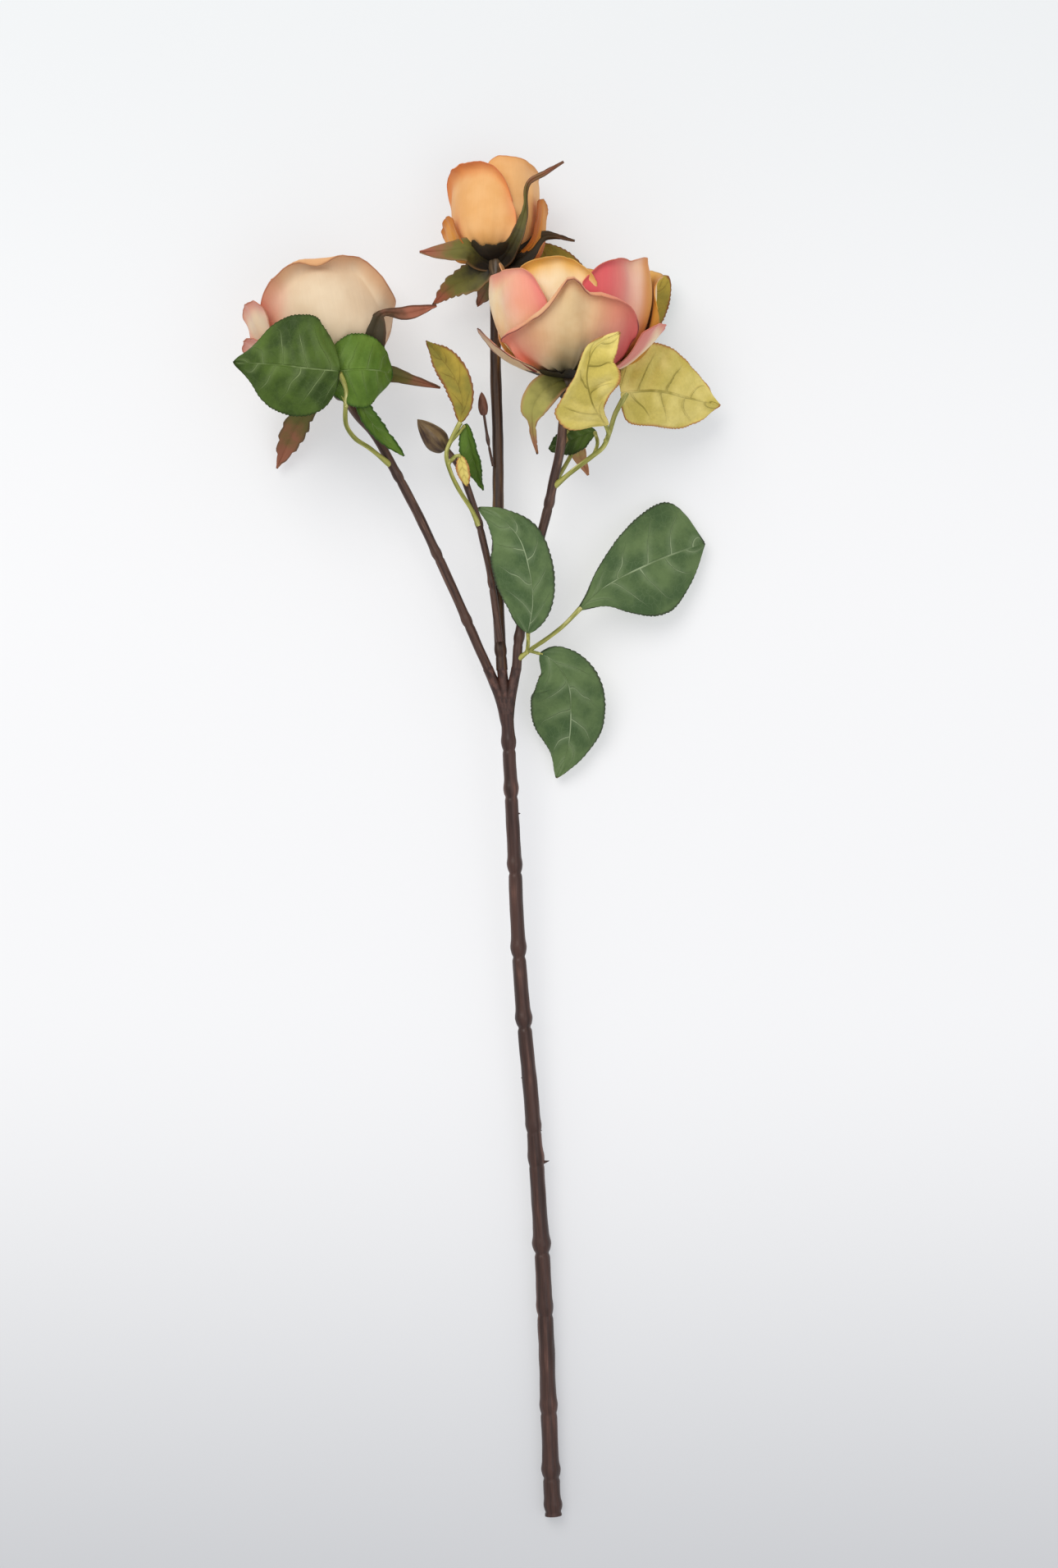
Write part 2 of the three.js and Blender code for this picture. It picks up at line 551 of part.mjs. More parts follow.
// ---------- list of pieces, each a name, a finish and a way to build it grown ----------
const pieces = [{ name: 'main_stem', finish: 'bark', build: mainStem }];
for (const [name, shoot] of Object.entries(shoots)) {
  const sections = Math.min(2 * (shoot.line.length - 1), SHOOT_SECTIONS_AT_MOST);
  const build = (grow) => rod(shoot.line, () => shoot.r, grow, STEM_SIDES, sections);
  pieces.push({ name, finish: 'shoot', build });
}
for (const [name, stalk] of Object.entries(petioles)) {
  const build = (grow) => stalk.lines
    .map((line) => rod(line, () => stalk.r, grow, PETIOLE_SIDES, Math.ceil(1.5 * line.length)))
    .reduce((sum, solid) => sum.add(solid));
  pieces.push({ name, finish: 'stalk', build });
}
for (const [side, bloom] of Object.entries(blooms)) {
  for (const [petalName, spec] of Object.entries(bloom.petals)) {
    const build = (grow) => petal(bloom, spec, grow);
    pieces.push({ name: `${side}_rose_petal_${petalName}`, finish: petalFinish[side], build });
  }
  const core = (grow) => turned(bloom.matrix, bloom.core, grow, CORE_SIDES);
  pieces.push({ name: `${side}_rose_core`, finish: petalFinish[side], build: core });
  pieces.push({ name: `${side}_rose_calyx`, finish: 'calyx', build: (grow) => calyx(side, grow) });
}
for (const [name, bud] of Object.entries(buds)) {
  const build = (grow) => turned(bud.matrix, bud.outline, grow, BUD_SIDES);
  pieces.push({ name, finish: 'bud', build });
}
for (const [name, spec] of Object.entries(leaves)) {
  const finish = paleLeaves.includes(name) ? 'leaf_olive' : 'leaf_green';
  const build = (grow) => blade(spec, LEAF_THICKNESS, grow, LEAF_COLUMNS, LEAF_ROWS);
  pieces.push({ name, finish, build });
}

// ---------- fit: every piece clears the ones before it ----------
function boxesMeet(a, b) {
  return [0, 1, 2].every((k) => a.min[k] < b.max[k] && b.min[k] < a.max[k]);
}

const group = new THREE.Group();
group.name = 'cut_rose';
const placed = [];
for (const piece of pieces) {
  let solid = piece.build(0);
  for (const other of placed) {
    if (boxesMeet(solid.boundingBox(), other.box)) solid = solid.subtract(other.grown);
  }
  const parts = solid.simplify(MERGE_TOLERANCE).decompose();
  parts.sort((a, b) => b.volume() - a.volume());
  const finish = finishes[piece.finish];
  const material = new THREE.MeshStandardMaterial({ ...finish, metalness: 0 });
  const mesh = new THREE.Mesh(toGeometry(parts[0]), material);
  mesh.name = piece.name;
  group.add(mesh);
  const grown = piece.build(CLEARANCE);
  placed.push({ grown, box: grown.boundingBox() });
}

export default group;
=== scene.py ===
"""Looks of a cut artificial rose spray that lies on a pale surface, built round its CAD frame."""

import math
from functools import partial

import bpy
from bpy.props import FloatProperty, FloatVectorProperty, PointerProperty
from mathutils import Color, Matrix, Vector, noise


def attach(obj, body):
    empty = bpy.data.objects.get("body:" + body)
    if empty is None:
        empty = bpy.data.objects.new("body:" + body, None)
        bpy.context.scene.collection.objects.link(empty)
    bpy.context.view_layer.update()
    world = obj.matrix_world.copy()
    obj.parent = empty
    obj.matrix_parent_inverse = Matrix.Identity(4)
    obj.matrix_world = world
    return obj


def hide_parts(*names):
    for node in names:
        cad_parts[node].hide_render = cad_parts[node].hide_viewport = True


bl_info = {
    "name": "Cut rose spray",
    "version": (1, 0, 0),
    "blender": (4, 5, 0),
    "location": "View3D > Sidebar > Rose",
    "description": "Petals, leaves, stems and sepals of a cut rose spray",
    "category": "Object",
}

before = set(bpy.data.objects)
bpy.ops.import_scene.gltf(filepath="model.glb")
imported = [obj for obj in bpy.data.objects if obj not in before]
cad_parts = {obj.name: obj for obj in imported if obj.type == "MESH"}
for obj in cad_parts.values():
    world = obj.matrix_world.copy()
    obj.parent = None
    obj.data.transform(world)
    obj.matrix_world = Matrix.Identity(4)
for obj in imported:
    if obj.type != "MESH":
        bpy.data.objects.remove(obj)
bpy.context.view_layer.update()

MM = 0.001
# Heights above the floor in mm: below the first, points are eased up so that none passes the second.
EASE_FROM, EASE_TO = 1.0, 0.35


# ---------------------------------------------------------------- small tools
def linear(hex_colour):
    """An sRGB hex colour as linear red, green, blue and alpha."""
    values = [int(hex_colour[i:i + 2], 16) / 255 for i in (0, 2, 4)]
    return tuple(c / 12.92 if c <= 0.04045 else ((c + 0.055) / 1.055) ** 2.4 for c in values) + (1.0,)


def ramp(x, low, high):
    """Smooth step from 0 at low to 1 at high."""
    t = min(max((x - low) / (high - low), 0.0), 1.0)
    return t * t * (3 - 2 * t)


def mix(a, b, t):
    """The value a share t of the way from a to b."""
    return a + (b - a) * t


def read(table, x):
    """A value read from a short table of (x, value) pairs, along a smooth curve through them."""
    x = min(max(x, table[0][0]), table[-1][0])
    k = 0
    while k < len(table) - 2 and x > table[k + 1][0]:
        k += 1
    (x0, y0), (x1, y1) = table[k], table[k + 1]
    before, after = table[max(k - 1, 0)], table[min(k + 2, len(table) - 1)]
    span = x1 - x0
    slope0 = (y1 - before[1]) / (x1 - before[0]) * span
    slope1 = (after[1] - y0) / (after[0] - x0) * span
    t = (x - x0) / span
    return ((2 * t - 3) * t * t + 1) * y0 + ((t - 2) * t + 1) * t * slope0 \
        + (3 - 2 * t) * t * t * y1 + (t - 1) * t * t * slope1


def deselect():
    """Leaves edit mode and selects nothing."""
    if bpy.context.mode != "OBJECT":
        bpy.ops.object.mode_set(mode="OBJECT")
    bpy.ops.object.select_all(action="DESELECT")


class Line:
    """A smooth line through points, read by the share of its length or by length itself."""

    def __init__(self, points, steps=24):
        points = [Vector(p) for p in points]
        ends = [points[0] * 2 - points[1]] + points + [points[-1] * 2 - points[-2]]
        self.points = []
        for p0, p1, p2, p3 in zip(ends, ends[1:], ends[2:], ends[3:]):
            knots = [0.0]
            for a, b in ((p0, p1), (p1, p2), (p2, p3)):
                knots.append(knots[-1] + max((b - a).length, 1e-6) ** 0.5)
            for i in range(steps):
                t = mix(knots[1], knots[2], i / steps)
                self.points.append(self.knotted(p0, p1, p2, p3, knots, t))
        self.points.append(points[-1].copy())
        self.lengths = [0.0]
        for a, b in zip(self.points, self.points[1:]):
            self.lengths.append(self.lengths[-1] + (b - a).length)
        self.length = self.lengths[-1]

    @staticmethod
    def knotted(p0, p1, p2, p3, k, t):
        """A point between p1 and p2 on the centripetal curve through four points with knots k."""
        a1 = p0.lerp(p1, (t - k[0]) / (k[1] - k[0]))
        a2 = p1.lerp(p2, (t - k[1]) / (k[2] - k[1]))
        a3 = p2.lerp(p3, (t - k[2]) / (k[3] - k[2]))
        b1 = a1.lerp(a2, (t - k[0]) / (k[2] - k[0]))
        b2 = a2.lerp(a3, (t - k[1]) / (k[3] - k[1]))
        return b1.lerp(b2, (t - k[1]) / (k[2] - k[1]))

    def at(self, length):
        """Point and direction at a length along; past the ends it runs straight on."""
        low, high = 0, len(self.lengths) - 1
        while high - low > 1:
            middle = (low + high) // 2
            if self.lengths[middle] <= length:
                low = middle
            else:
                high = middle
        a, b = self.points[low], self.points[high]
        span = max(self.lengths[high] - self.lengths[low], 1e-9)
        near = max(low - 2, 0), min(high + 2, len(self.points) - 1)
        direction = (self.points[near[1]] - self.points[near[0]]).normalized()
        return a.lerp(b, (length - self.lengths[low]) / span), direction

    def share(self, t):
        """Point and direction a share t of the way along."""
        return self.at(t * self.length)


def spaced(i, count):
    """Even steps drawn closer together towards both ends, from 0 to 1."""
    t = i / count
    return mix(t, 0.5 - 0.5 * math.cos(math.pi * t), 0.75)


# ---------------------------------------------------------------- pieces
def on_floor(point):
    """The same point, eased up so that nothing sinks below the floor it lies on."""
    if point.z < EASE_FROM:
        span = EASE_FROM - EASE_TO
        point.z = EASE_TO + span * math.exp((point.z - EASE_FROM) / span)
    return point


def shaped_grid(name, columns, rows, place, masks=None, even=False):
    """A grid added flat, then bent: place(u, v) gives each point in mm, u in -1..1 and v in 0..1.
    masks(u, v) gives named values from 0 to 1 that the materials read."""
    deselect()
    bpy.ops.mesh.primitive_grid_add(x_subdivisions=columns, y_subdivisions=rows, size=2, location=(0, 0, 0))
    piece = bpy.context.object
    piece.name = name
    mesh = piece.data
    mesh.name = name
    where = []
    for vertex in mesh.vertices:
        i = (vertex.co.x + 1) / 2 * columns
        j = (vertex.co.y + 1) / 2 * rows
        if even:
            where.append((2 * i / columns - 1, j / rows))
        else:
            where.append((2 * spaced(i, columns) - 1, spaced(j, rows)))
    for vertex, (u, v) in zip(mesh.vertices, where):
        vertex.co = Vector(place(u, v)) * MM
    layer = mesh.uv_layers[0]
    layer.name = "UVMap"
    for loop in mesh.loops:
        u, v = where[loop.vertex_index]
        layer.data[loop.index].uv = (u / 2 + 0.5, v)
    if masks:
        values = [masks(u, v) for u, v in where]
        for key in values[0]:
            attribute = mesh.attributes.new(key, "FLOAT", "POINT")
            attribute.data.foreach_set("value", [row[key] for row in values])
    return piece


def thicken(piece, thickness, faces):
    """Gives a sheet its thickness, with one material on each face, and smooths it."""
    for material in faces:
        piece.data.materials.append(material)
    deselect()
    piece.select_set(True)
    bpy.context.view_layer.objects.active = piece
    wall = piece.modifiers.new("wall", "SOLIDIFY")
    wall.thickness = thickness * MM
    wall.offset = 0
    wall.material_offset = 1
    wall.material_offset_rim = 0
    bpy.ops.object.modifier_apply(modifier=wall.name)
    bpy.ops.object.shade_smooth()
    return piece


def weld(piece, material):
    """Closes a grid that was bent into a tube or a turned shape: seam, poles and open ends."""
    piece.data.materials.append(material)
    deselect()
    piece.select_set(True)
    bpy.context.view_layer.objects.active = piece
    bpy.ops.object.mode_set(mode="EDIT")
    bpy.ops.mesh.select_mode(type="EDGE")
    bpy.ops.mesh.select_all(action="SELECT")
    bpy.ops.mesh.remove_doubles(threshold=1e-6)
    bpy.ops.mesh.select_all(action="DESELECT")
    bpy.ops.mesh.select_non_manifold()
    bpy.ops.mesh.fill_holes(sides=0)
    bpy.ops.mesh.select_all(action="SELECT")
    bpy.ops.mesh.normals_make_consistent(inside=False)
    bpy.ops.object.mode_set(mode="OBJECT")
    bpy.ops.object.shade_smooth_by_angle(angle=math.radians(50))
    return piece


def rod(name, points, radius, sides, rings, material):
    """A round rod; radius(t, angle) is in mm, t is the share of the way along."""
    line = Line(points)
    frames = []
    normal = Vector((0, 0, 1))
    for j in range(rings + 1):
        centre, direction = line.share(j / rings)
        normal = (normal - direction * normal.dot(direction)).normalized()
        frames.append((centre, normal.copy(), direction.cross(normal)))

    def place(u, v):
        centre, across, beside = frames[round(v * rings)]
        angle = math.pi * u
        r = radius(v, angle)
        return centre + across * (r * math.cos(angle)) + beside * (r * math.sin(angle))

    return weld(shaped_grid(name, sides, rings, place, even=True), material)


def joined(name, pieces):
    """The pieces as one object."""
    deselect()
    for piece in pieces:
        piece.select_set(True)
    bpy.context.view_layer.objects.active = pieces[0]
    if len(pieces) > 1:
        bpy.ops.object.join()
    pieces[0].name = name
    pieces[0].data.name = name
    return pieces[0]


def finished(piece, slot, *nodes):
    """Hands a piece to the frame: it stands for its CAD nodes, which it hides. The slot is not used."""
    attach(piece, "root")
    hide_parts(*nodes)


# ---------------------------------------------------------------- materials
SOFT = {"interpolation_type": "SMOOTHSTEP"}
COLOUR = {"data_type": "RGBA"}
# Sizes of the patterns, in repeats per metre.
DYE_CLOUD = 70.0  # uneven dye on a petal, 14 mm across
LEAF_MOTTLE = 75.0  # mottled leaf print, 13 mm across
LEAF_WEAVE = 900.0  # weave specks 1.1 mm apart, coarser than the real 0.3 mm so that they show
SEPAL_TINT = 160.0  # uneven tint of a sepal, 6 mm across
PAINT_PATCH = 60.0  # worn patches of paint on a rod, 17 mm across
MOULD_GRIT = 450.0  # grit of the mould 2.2 mm apart, coarser than the real 0.5 mm so that it shows


def add_node(tree, kind, inputs=(), out=0, **settings):
    """Adds one node and gives one of its outputs. Inputs go by name, or in the order of the sockets in use.
    Each is a number, a vector, a hex colour, a colour property or another node's output."""
    node = tree.nodes.new("ShaderNode" + kind)
    for key, value in settings.items():
        setattr(node, key, value)
    in_use = [socket for socket in node.inputs if socket.enabled]
    for key, value in inputs.items() if isinstance(inputs, dict) else enumerate(inputs):
        socket = in_use[key] if isinstance(key, int) else node.inputs[key]
        if isinstance(value, bpy.types.NodeSocket):
            tree.links.new(value, socket)
        elif isinstance(value, str):
            socket.default_value = linear(value)
        elif isinstance(value, Color):
            socket.default_value = (*value, 1.0)
        else:
            socket.default_value = value
    return node.outputs[out]


def new_material(name, settings):
    """An empty material with its shader's own numbers set, and the function that adds nodes to it."""
    material = bpy.data.materials.new(name)
    material.use_nodes = True
    for key, value in settings.items():
        material.node_tree.nodes["Principled BSDF"].inputs[key].default_value = value
    return material, partial(add_node, material.node_tree)


def surface(material, colour, height, strength, depth):
    """Gives a material its colour and its relief; depth is in metres."""
    tree = material.node_tree
    shader = tree.nodes["Principled BSDF"]
    bump = add_node(tree, "Bump", {"Strength": strength, "Distance": depth, "Height": height})
    tree.links.new(colour, shader.inputs["Base Color"])
    tree.links.new(bump, shader.inputs["Normal"])
    return material


def petal_cloth(name, field, pale, blush, warm, rim, heart, rim_strength=0.5):
    """Dyed polyester petal cloth: matt, softly napped, with airbrushed margins, a singed rim and a foot
    darkened as painted shade.
    """
    material, add = new_material(name, {"Roughness": 0.72, "Specular IOR Level": 0.3, "Sheen Weight": 0.15,
                                        "Sheen Roughness": 0.5})
    sprays = ("blush", "warm", "heart", "edge")
    masks = {key: add("Attribute", out="Fac", attribute_name=key) for key in sprays}
    wrap = add("TexCoord", out="UV")
    cloud = add("TexNoise", {"Vector": add("TexCoord", out="Object"), "Scale": DYE_CLOUD, "Detail": 3.0})
    # 70 threads to a petal about 60 mm wide: 0.9 mm apart, coarser than the real 0.3 mm so that they show.
    stretch = add("Mapping", {"Vector": wrap, "Scale": (70.0, 5.0, 1.0)})
    threads = add("TexNoise", {"Vector": stretch, "Scale": 1.0, "Detail": 2.0})
    folds = add("Mapping", {"Vector": wrap, "Scale": (9.0, 1.2, 1.0)})
    streaks = add("TexNoise", {"Vector": folds, "Scale": 1.0, "Detail": 3.0})
    ground = add("Mix", (add("MapRange", (cloud, 0.3, 0.7), **SOFT), field, pale), 2, **COLOUR)
    warmed = add("Mix", (masks["warm"], ground, warm), 2, **COLOUR)
    uneven = add("Math", (streaks, 0.24, 0.86), operation="MULTIPLY_ADD")
    sprayed = add("Math", (masks["blush"], uneven), operation="MULTIPLY", use_clamp=True)
    tinted = add("Mix", (sprayed, warmed, blush), 2, **COLOUR)
    # The foot is drawn towards the heart colour: painted shade where the bowl turns under, over a warmer tint
    # of the cloth's own.
    deep = add("Math", (masks["heart"], 0.9), operation="MULTIPLY")
    shaded = add("Mix", (deep, tinted, heart), 2, **COLOUR)
    patchy = add("MapRange", (cloud, 0.25, 0.6, 0.0, rim_strength), **SOFT)
    singed = add("Math", (masks["edge"], patchy), operation="MULTIPLY")
    edged = add("Mix", (singed, shaded, rim), 2, **COLOUR)
    grain = add("Math", (threads, 0.08, 0.96), operation="MULTIPLY_ADD")
    colour = add("Mix", (1.0, edged, grain), 2, blend_type="MULTIPLY", **COLOUR)
    height = add("Math", (threads, 0.35, streaks), operation="MULTIPLY_ADD")
    return surface(material, colour, height, 0.25, 0.0006)


def leaf_cloth(name, field, dark, vein, edge, vein_strength, roughness, ribs=5.0, width=1.0, sunk=1.0):
    """Printed leaf cloth: pressed veins, a mottled ground and a darker cut edge."""
    material, add = new_material(name, {"Roughness": roughness, "Specular IOR Level": 0.2})
    place, wrap = add("TexCoord", out="Object"), add("TexCoord", out="UV")
    cloud = add("TexNoise", {"Vector": place, "Scale": LEAF_MOTTLE, "Detail": 5.0})
    speck = add("TexNoise", {"Vector": place, "Scale": LEAF_WEAVE, "Detail": 2.0})
    wander = add("TexNoise", {"Vector": wrap, "Scale": 2.6, "Detail": 1.0})
    across = add("Math", (add("SeparateXYZ", (wrap,)), 2.0, -1.0), operation="MULTIPLY_ADD")
    along = add("SeparateXYZ", (wrap,), 1)
    reach = add("Math", (across,), operation="ABSOLUTE")
    # Side ribs leave the midrib slanting towards the tip, set a half step apart left and right.
    bent = add("Math", (reach, 1.25), operation="POWER")
    slant = add("Math", (bent, -0.24, along), operation="MULTIPLY_ADD")
    drift = add("Math", (wander, 0.14, -0.07), operation="MULTIPLY_ADD")
    offset = add("Math", (add("Math", (across,), operation="SIGN"), 0.03, drift), operation="MULTIPLY_ADD")
    order = add("Math", (add("Math", (slant, offset), operation="ADD"), ribs), operation="MULTIPLY")
    cell = add("Math", (add("Math", (order,), operation="FRACT"), 0.5), operation="SUBTRACT")
    gap = add("Math", (cell,), operation="ABSOLUTE")
    thin = add("Math", (reach, -0.6, 1.0), operation="MULTIPLY_ADD")
    share = add("Math", (gap, thin), operation="DIVIDE")
    side = add("Math", (add("MapRange", (share, 0.012 * width, 0.045 * width, 1.0, 0.0), **SOFT),
                        add("MapRange", (reach, 0.45, 0.9, 1.0, 0.0), **SOFT)), operation="MULTIPLY")
    middle = add("Math", (add("MapRange", (reach, 0.01 * width, 0.03 * width, 1.0, 0.0), **SOFT),
                          add("MapRange", (along, 0.6, 1.0, 1.0, 0.0), **SOFT)), operation="MULTIPLY")
    stretch = add("Mapping", {"Vector": wrap, "Scale": (1.0, 1.3, 1.0)})
    net = add("TexVoronoi", {"Vector": stretch, "Scale": 15.0}, "Distance", feature="DISTANCE_TO_EDGE")
    lines = add("Math", (middle, add("Math", (side, 0.75), operation="MULTIPLY")), operation="MAXIMUM")
    lines = add("Math", (lines, add("MapRange", (net, 0.0, 0.05, 0.11, 0.0), **SOFT)), operation="MAXIMUM")
    # A soft bloom of lighter print follows the ribs.
    halo = add("Math", (add("MapRange", (gap, 0.0, 0.3, 0.22 * vein_strength, 0.0), **SOFT),
                        add("MapRange", (reach, 0.2, 0.8, 1.0, 0.0), **SOFT)), operation="MULTIPLY")
    ground = add("Mix", (add("MapRange", (cloud, 0.32, 0.68), **SOFT), field, dark), 2, **COLOUR)
    ground = add("Mix", (halo, ground, vein), 2, **COLOUR)
    fleck = add("Math", (speck, 0.2, 0.9), operation="MULTIPLY_ADD")
    ground = add("Mix", (1.0, ground, fleck), 2, blend_type="MULTIPLY", **COLOUR)
    patchy = add("MapRange", (cloud, 0.38, 0.62, 0.0, vein_strength), **SOFT)
    ribbed = add("Mix", (add("Math", (lines, patchy), operation="MULTIPLY"), ground, vein), 2, **COLOUR)
    edged = add("Mix", (add("Attribute", out="Fac", attribute_name="edge"), ribbed, edge), 2, **COLOUR)
    relief = add("Math", (add("Math", (middle, side), operation="MAXIMUM"), -sunk,
                          add("Math", (speck, 0.25), operation="MULTIPLY")), operation="MULTIPLY_ADD")
    return surface(material, edged, relief, 0.6, 0.0008)


def moulded_plastic(name, light, middle, dark, roughness, streak=(5.0, 2.5), coat=0.0, relief=0.35):
    """Moulded and brushed polythene: a low sheen, with paint dragged along the part."""
    material, add = new_material(name, {"Roughness": roughness, "Specular IOR Level": 0.4,
                                        "Coat Weight": coat, "Coat Roughness": 0.35})
    place = add("TexCoord", out="Object")
    stretch = add("Mapping", {"Vector": add("TexCoord", out="UV"), "Scale": (streak[0], streak[1] * 10, 1.0)})
    drag = add("TexNoise", {"Vector": stretch, "Scale": 1.0, "Detail": 5.0, "Roughness": 0.6})
    speck = add("TexNoise", {"Vector": place, "Scale": MOULD_GRIT, "Detail": 3.0})
    blotch = add("TexNoise", {"Vector": place, "Scale": PAINT_PATCH, "Detail": 2.0})
    tone = add("Mix", (add("MapRange", (drag, 0.35, 0.62), **SOFT), dark, middle), 2, **COLOUR)
    worn = add("Math", (add("MapRange", (drag, 0.5, 0.7), **SOFT),
                        add("MapRange", (blotch, 0.42, 0.66), **SOFT)), operation="MULTIPLY")
    colour = add("Mix", (worn, tone, light), 2, **COLOUR)
    height = add("Math", (speck, 0.5, drag), operation="MULTIPLY_ADD")
    return surface(material, colour, height, relief, 0.0005)


def sepal_plastic(name, base, middle, tip, edge):
    """Moulded and hand-tinted sepal: from its foot colour to olive, then brown-pink to its tip. The foot
    colour is near black on most sepals, painted shade in the hollow round the hip.
    """
    material, add = new_material(name, {"Roughness": 0.6, "Specular IOR Level": 0.35})
    wrap = add("TexCoord", out="UV")
    cloud = add("TexNoise", {"Vector": add("TexCoord", out="Object"), "Scale": SEPAL_TINT, "Detail": 3.0})
    wander = add("Math", (cloud, 0.5, -0.25), operation="MULTIPLY_ADD")
    along = add("Math", (add("SeparateXYZ", (wrap,), 1), wander), operation="ADD")
    across = add("Math", (add("SeparateXYZ", (wrap,)), 2.0, -1.0), operation="MULTIPLY_ADD")
    reach = add("Math", (across,), operation="ABSOLUTE")
    # The foot takes the base colour, near black on most sepals: painted shade in the hollow round the hip.
    tone = add("Mix", (add("MapRange", (along, 0.12, 0.55), **SOFT), base, middle), 2, **COLOUR)
    tone = add("Mix", (add("MapRange", (along, 0.55, 0.9), **SOFT), tone, tip), 2, **COLOUR)
    tone = add("Mix", (add("MapRange", (reach, 0.75, 1.0, 0.0, 0.7), **SOFT), tone, edge), 2, **COLOUR)
    groove = add("MapRange", (reach, 0.0, 0.15, -1.0, 0.0), **SOFT)
    height = add("Math", (cloud, 0.6, groove), operation="MULTIPLY_ADD")
    return surface(material, tone, height, 0.4, 0.0005)


# The finishes by the short names that the tables use.
MATERIALS = {}


def make_plastics(props):
    """Stems, stalks, hips, buds and sepals: moulded polythene, brushed or tinted by hand."""
    m = MATERIALS
    # Dark bark paint dragged along satin polythene: an old woody stem with a faint glint down its length.
    m["bark"] = moulded_plastic("moulded_bark_plastic", "745044", props.bark, "301c16", 0.4, (7.0, 0.6), 0.05,
                                0.3)
    # The same paint thinner over a lighter rod: younger, redder wood.
    m["shoot"] = moulded_plastic("moulded_shoot_plastic", "8e6c58", props.shoot, "341f18", 0.45, (6.0, 0.5))
    # Brown paint over green polythene: an olive cast in the streaks of the middle shoot.
    m["olive_shoot"] = moulded_plastic("moulded_olive_shoot_plastic", "7a5828", "4e331c", "27130a", 0.45,
                                       (6.0, 0.4))
    # Bare yellow-green polythene, hardly painted: smooth, soft stalks that stand out from the wood.
    m["stalk"] = moulded_plastic("moulded_green_stalk_plastic", "ece6ae", props.stalk, "74782e", 0.5,
                                 (3.0, 0.3), 0.0, 0.2)
    # A glossier cup with long lengthwise streaks: the swollen hip that catches the light below a bloom.
    m["hip"] = moulded_plastic("moulded_hip_plastic", "ac9a80", "6e5a42", "2a1e12", 0.4, (9.0, 0.1), 0.15)
    # Raw polythene where the stem was cut: a pale yellow, dull end.
    m["pith"] = moulded_plastic("cut_pith_plastic", "d2c46c", "b7a648", "7c6a2c", 0.6, (3.0, 3.0))
    # Khaki rubbed thin over brown: the dry, ridged skin of a closed bud.
    m["bud"] = moulded_plastic("moulded_bud_plastic", "a8946a", "7c6646", "36221c", 0.5, (6.0, 0.1))
    # Red-brown with dark ridges: a young bud, redder than the big one.
    m["small_bud"] = moulded_plastic("moulded_small_bud_plastic", "b08870", "8c5f4d", "5a3428", 0.5,
                                     (6.0, 0.1))
    # Outer face of a sepal: near black where it leaves the hip, painted shade of the hollow there, then
    # olive, then a dusty brown-pink tip.
    m["sepal_out"] = sepal_plastic("tinted_sepal_plastic", "1e170a", props.sepal, "945c44", "5c4630")
    # Inner face of a sepal: the same tints with the same painted shade at its foot, warmer, with a paler rim.
    m["sepal_in"] = sepal_plastic("tinted_sepal_inner_plastic", "1c150a", "6c682a", "9c5a42", "8a6a44")
    # A sepal pressed against its bloom: dark brown almost to the tip, so that it reads as a shadowed wedge.
    m["sepal_wedge"] = sepal_plastic("shaded_sepal_plastic", "110c06", "362c12", "a4644c", "4c3422")
    # Shaded sepal faces and the cup round each hip: nearly black with no green left, painted shade of the
    # hollow under each bloom.
    m["sepal_painted_shade"] = sepal_plastic("sepal_plastic_painted_shade", "160f07", "34290f", "54381f", "2c1e12")
    # A fresh sepal: pale green with a tan edge, the lightest thing below the blooms.
    m["sepal_light"] = sepal_plastic("light_sepal_plastic", "6a662c", "b4ad5c", "b07a58", "b4805c")


